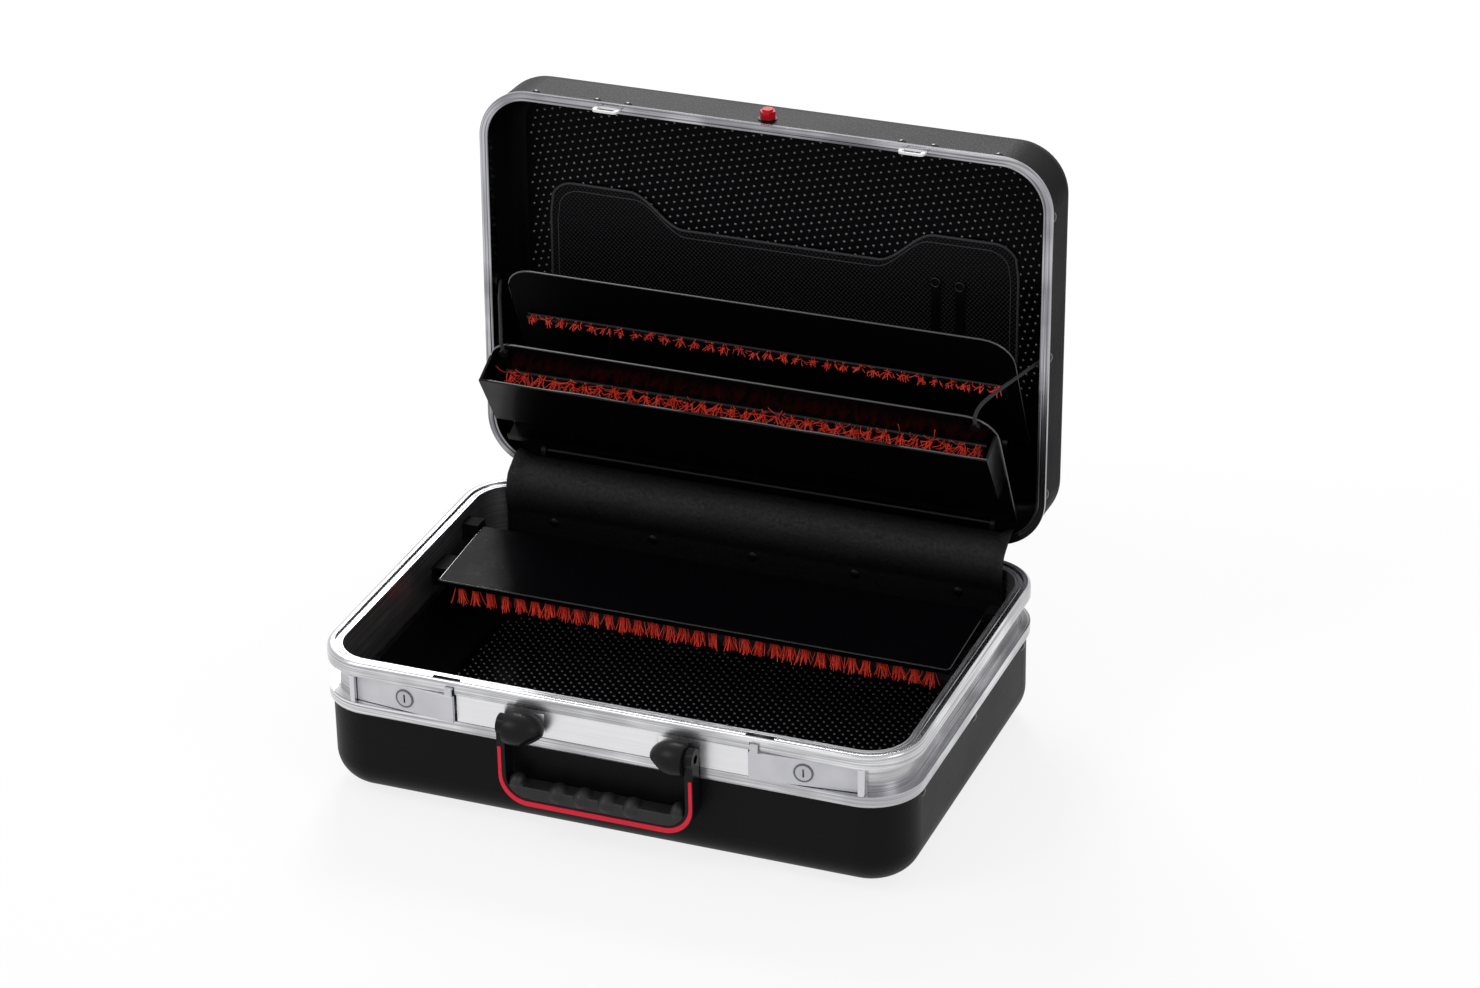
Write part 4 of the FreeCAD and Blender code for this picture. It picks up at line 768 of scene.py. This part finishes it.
def on_pocket(x, up, proud=0.0):
    """On the pocket's face, which bellies out between its sewn sides, or proud of it."""
    belly, ripple = 1.6, 0.5
    ripple_run = 31
    full_rise = 125
    across = math.cos(x / POCKET_HALF * math.pi / 2)
    rise = min(max((up - POCKET_FOOT) / full_rise, 0), 1)
    out = belly * across ** 0.5 * rise + ripple * math.sin(x / ripple_run) * rise * across
    return in_lid(x, up, POCKET_DEPTH - out - proud)


def pocket_outline(inset, proud):
    """Up the left side, over the top and down the right side."""
    half = POCKET_HALF - 0.2
    side = half - inset
    shares = [i / 90 - 1 for i in range(1, 180)]
    rise = [(-side, POCKET_FOOT + (114 - inset) * i / 12) for i in range(13)]
    over = [(side * share, pocket_top(half * share) - inset) for share in shares]
    fall = [(-x, up) for x, up in reversed(rise)]
    return [on_pocket(x, up, proud) for x, up in rise + over + fall]


def make_pocket():
    def place(u, v):
        x = (u - 0.5) * 2 * (POCKET_HALF - 0.4)
        return on_pocket(x, POCKET_FOOT + (pocket_top(x) - POCKET_FOOT) * v)

    panel = cloth("pocket_panel", columns=150, rows=26, place=place)
    thicken(panel, 0.7)
    finished(panel, "lid", "mesh_fabric", ["document_pocket"])
    tape = swept("pocket_binding", pocket_outline(0, 0.2), 1.1)
    finished(tape, "lid", "piping", ["pocket_piping"], smooth=80)
    seam = swept("pocket_seam", pocket_outline(6, 0.4), 0.45)
    finished(seam, "lid", "piping", smooth=80)
    half = POCKET_HALF - 0.2
    foot = swept("pocket_foot_binding",
                 [in_lid(half * (i / 20 - 1), POCKET_FOOT, POCKET_DEPTH) for i in range(41)], 1.3)
    finished(foot, "lid", "piping", smooth=80)


# Felt apron that bellies out over the hinge
def smooth_path(points, steps):
    """A smooth line through the points, with evenly spread parameters."""
    line = []
    count = len(points) - 1
    for step in range(steps + 1):
        t = step / steps * count
        i = min(int(t), count - 1)
        t -= i
        p0, p1, p2, p3 = (Vector(points[min(max(i + k, 0), count)]) for k in (-1, 0, 1, 2))
        line.append(0.5 * (2 * p1 + (p2 - p0) * t + (2 * p0 - 5 * p1 + 4 * p2 - p3) * t * t
                           + (3 * p1 - p0 - 3 * p2 + p3) * t * t * t))
    return line


def apron_section(curl):
    """The apron's run in Y and Z from the lid's rib to the row of rivets, drawn in by curl at its ends."""
    inner, lip = (in_lid(0, up + curl, deep) / MM for up, deep in ((14.3, 5.5), (14.6, -1.6)))
    bulge = [(157.6, 135.4), (150.6, 130.0), (146.9, 121.0), (146.4, 111.0), (147.8, 102.0)]
    wall = [(149.1, 97.0), (149.1, 91.0), (149.1, 76.0)]
    return [(inner.y, inner.z), (lip.y, lip.z)] + [(y - curl, z) for y, z in bulge + wall]


def make_apron():
    width = 424
    rows = 44
    curls = 8
    deepest = 4.8
    curl_start, curl_run = 198, 14
    lines = [smooth_path(apron_section(deepest * step / curls), rows) for step in range(curls + 1)]

    def place(u, v):
        x = (u - 0.5) * width
        edge = min(max((abs(x) - curl_start) / curl_run, 0), 1)
        spot = lines[round(edge * edge * (3 - 2 * edge) * curls)][round(v * rows)]
        free = math.sin(min(max((v - 0.2) / 0.5, 0), 1) * math.pi)
        wave = 0.9 * math.sin(x / 37 + 0.8) * free + 0.5 * math.sin(x / 14 + v * 5) * free
        return Vector((x, spot.x + wave, spot.y)) * MM

    apron = cloth("hinge_apron", columns=120, rows=rows, place=place)
    thicken(apron, 1.2)
    finished(apron, None, "felt", ["apron"], smooth=80)
    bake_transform(apron)


# Rolled edges of the boards and of the trough's lip, in a finish paler than the sheet: a painted highlight
def make_edge(name, points, radius_mm, body):
    finished(swept(name, points, radius_mm), body, "board_sheet", smooth=80, finish="board_edge")


def mirrored(half, surface):
    """Places on a surface along half an outline on the left and its mirror on the right, millimetres."""
    return [surface(-x, *rest) for x, *rest in half] + [surface(x, *rest) for x, *rest in reversed(half)]


def make_edges():
    for name, surface, length, body in (("front_board_edge", on_front_board, FRONT_LENGTH, "front_board"),
                                        ("back_board_edge", on_back_board, BACK_LENGTH, "back_board")):
        half = [(BOARD_HALF, 6, 0)]
        for degrees in range(90, -1, -15):
            angle = math.radians(degrees)
            half.append((BOARD_HALF - BOARD_CORNER + BOARD_CORNER * math.sin(angle),
                         length - BOARD_CORNER + BOARD_CORNER * math.cos(angle), 0))
        make_edge(name, mirrored(half, surface), 1.0, body)
    side = BOARD_HALF - 1
    lip_place, lip_out = 119.6, 25.6
    lip = []
    for step in range(61):
        x = side * (step / 30 - 1)
        wavy = lip_place + 0.5 * math.sin(x / 27) + 0.4 * math.sin(x / 11)
        lip.append(on_front_board(x, wavy, lip_out))
    ends = [on_front_board(x, 70, 22.6) for x in (-side, side)]
    make_edge("trough_lip", ends[:1] + lip + ends[1:], 0.9, "front_board")
    half = [(212.6, 94, 105.2), (212.6, 14, 100.5), (211, 12.6, 100.2)]
    make_edge("base_board_edge", mirrored(half, lambda *point: Vector(point) * MM), 0.8, "base_board")


# Handle: a bail on two rounded bosses, with a soft grip and a coral inlay
def block(name, low, high, corner_mm):
    """Block between two corners, in millimetres, its two lower edges along Y rounded."""
    low, high = Vector(low) * MM, Vector(high) * MM
    deselect()
    bpy.ops.mesh.primitive_cube_add(size=1, location=(low + high) / 2)
    piece = added(name)
    piece.scale = high - low
    settle(piece)
    pick(piece, "EDGE", lambda middle, along: middle.z < low.z + 0.1 * MM and abs(along.y) > 0.9)
    bpy.ops.mesh.bevel(offset=corner_mm * MM, segments=10, affect="EDGES")
    leave_edit()
    return piece


def cut_off(piece, point, normal):
    """Cuts away what lies past a plane and closes the cut."""
    edit_all(piece)
    bpy.ops.mesh.bisect(plane_co=point, plane_no=normal, clear_outer=True, use_fill=True)
    leave_edit()


def combine(piece, other, operation):
    """Adds one shape to another or takes it away; the second goes."""
    step = piece.modifiers.new("shape", "BOOLEAN")
    step.operation = operation
    step.object = other
    step.solver = "EXACT"
    settle(piece)
    removed(other)


def hanging_u(name, side, low, high, wall, foot, corner, depth):
    """U that hangs from z high: half width side, front and back Y in depth, thickness wall and foot."""
    front, back = depth
    bail = block(name, (-side, front, low), (side, back, high), corner)
    inside = side - wall
    middle = block("middle", (-inside, front - 3, low + foot), (inside, back + 3, high + 9), corner - wall)
    combine(bail, middle, "DIFFERENCE")
    return bail


def make_bail():
    side = 78.9
    arm = 6.5
    bail = hanging_u("handle_bail_moulded", side, low=32.5, high=HANDLE_Z, wall=arm, foot=arm, corner=24,
                     depth=(-176.5, -163.5))
    for end in (-1, 1):
        deselect()
        place = (end * (side - arm / 2) * MM, HANDLE_Y * MM, HANDLE_Z * MM)
        bpy.ops.mesh.primitive_cylinder_add(vertices=48, radius=8 * MM, depth=arm * MM,
                                            rotation=(0, math.pi / 2, 0), location=place)
        disc = added("disc")
        settle(disc)
        combine(bail, disc, "UNION")
    round_edges(bail, 1.1, 3)
    finished(bail, "handle", "handle_plastic", ["handle_bail"])
    inlay = hanging_u("coral_inlay", side - 0.8, low=33.3, high=81, wall=2.7, foot=4.1, corner=23.2,
                      depth=(-177.2, -175.6))
    round_edges(inlay, 0.3)
    finished(inlay, "handle", "red_inlay", ["handle_inlay"])


def make_boss(name, side, node):
    """Egg-shaped boss with a dished oval under its nose."""
    outer_face, back_face = 71.8, -153.2
    dish_plane = 14.1
    middle = Vector((side * 64, HANDLE_Y, HANDLE_Z - 1.4)) * MM
    deselect()
    bpy.ops.mesh.primitive_uv_sphere_add(segments=48, ring_count=28, radius=MM,
                                         rotation=(0, math.pi / 2, 0), location=middle)
    egg = added(name)
    egg.scale = (13.2, 15.4, 20.6)
    settle(egg)
    dish = Vector((-side * 0.60, -0.46, -0.65)).normalized()
    cut_off(egg, Vector((side * outer_face * MM, 0, 0)), Vector((side, 0, 0)))
    cut_off(egg, Vector((0, back_face * MM, 0)), Vector((0, 1, 0)))
    cut_off(egg, middle + dish * dish_plane * MM, dish)
    pick(egg, "FACE", lambda at, facing: facing.dot(dish) > 0.999 and (at - middle).length < 16 * MM)
    bpy.ops.mesh.inset(thickness=1.4 * MM)
    bpy.ops.transform.translate(value=-dish * 1.6 * MM)
    leave_edit()
    round_edges(egg, 0.7)
    finished(egg, "base", "handle_plastic", [node], smooth=35)


def make_strip_backing(name, side):
    """The front strip's face behind a boss: it closes the corners of the hole for the boss's root."""
    inner, outer = sorted((side * 45.7, side * 69.3))
    backing = block(name, low=(inner, -161.5, 88.7), high=(outer, -156, 106.3), corner_mm=0.3)
    round_edges(backing, 0.1)
    finished(backing, "base", "satin_strip")


def make_grip():
    """Soft hand piece in the bail's bow: a bar and its knobs, melted into one skin."""
    grip = block("ribbed_grip", low=(-72.3, -177.4, 39.2), high=(72.3, -162.6, 66), corner_mm=17.3)
    cut_off(grip, point=(0, 0, 49.5 * MM), normal=(0, 0, 1))
    round_edges(grip, 2.6, 4)
    settle(grip)
    finger_knobs = [(x, 46.2, 7.8) for x in (-32, -12, 8, 28)]
    end_knobs = [(x, 51.5, 6) for x in (-65, 65)]
    knobs = []
    for x, z, size in finger_knobs + end_knobs:
        deselect()
        place = (x * MM, (HANDLE_Y - 1.4) * MM, z * MM)
        bpy.ops.mesh.primitive_uv_sphere_add(segments=24, ring_count=16, radius=size * MM, location=place)
        knob = added("knob")
        knob.scale = (1, 1.24, 1)
        settle(knob)
        knobs.append(knob)
    join(knobs + [grip], grip)
    skin = grip.modifiers.new("skin", "REMESH")
    skin.mode = "VOXEL"
    skin.voxel_size = 0.8 * MM
    soft = grip.modifiers.new("soft", "SMOOTH")
    soft.iterations = 4
    finished(grip, "handle", "grip_rubber", ["handle_grip"], smooth=60)


# Cords that hold the front board, three strands laid together
def read_path(name, route):
    """The points of a smooth curve that runs along a route."""
    guide, line = new_curve(name, "NURBS", route)
    guide.data.resolution_u = 12
    line.order_u = 3
    line.use_endpoint_u = True
    bpy.context.view_layer.update()
    read = bpy.data.meshes.new_from_object(guide)
    path = [vertex.co.copy() for vertex in read.vertices]
    bpy.data.meshes.remove(read)
    bpy.data.objects.remove(guide)
    return path


def wind(path, start):
    """A path that winds round another, start of a turn ahead of its first point."""
    lay = 8 * MM
    reach = 0.75 * MM
    wound = []
    run = 0
    for i, spot in enumerate(path):
        ahead = (path[min(i + 1, len(path) - 1)] - path[max(i - 1, 0)]).normalized()
        first = ahead.cross(Vector((0, 0, 1))).normalized()
        second = ahead.cross(first)
        run += (spot - path[i - 1]).length if i else 0
        turn = (run / lay + start) * 2 * math.pi
        wound.append(spot + (first * math.cos(turn) + second * math.sin(turn)) * reach)
    return wound


def make_cord(name, side, node):
    route = [in_lid(side * x, up, deep) for x, up, deep in (
        (226.0, 163.0, 8.5), (220.0, 160.0, -8.0), (208.0, 154.0, -33.0), (202.4, 150.4, -45.0),
        (199.4, 147.0, -51.5), (197.6, 142.0, -55.8), (197.0, 138.0, -56.6), (196.8, 133.4, -54.04))]
    path = read_path(name + "_route", route)
    length = sum((b - a).length for a, b in zip(path, path[1:]))
    strands = [swept(name + "_strand", wind(path, strand / 3), 0.85) for strand in range(3)]
    join(strands, strands[0])
    cord = added(name)
    finished(cord, None, "cord_braid", [node], smooth=80)
    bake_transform(cord)
    tuple(path[0])
    [tuple(p) for p in path]


make_base_bristles()
make_lid_bristles()
make_pimples()
make_pocket()
make_apron()
make_edges()
make_bail()
make_boss("handle_boss_right_moulded", 1, "handle_boss_right")
make_boss("handle_boss_left_moulded", -1, "handle_boss_left")
make_strip_backing("strip_backing_right", 1)
make_strip_backing("strip_backing_left", -1)
make_grip()
make_cord("board_cord_strands_right", 1, "board_cord_right")
make_cord("board_cord_strands_left", -1, "board_cord_left")

place_camera()
make_world()
add_lamps()
make_floor()
bpy.context.scene.view_settings.view_transform = "Standard"
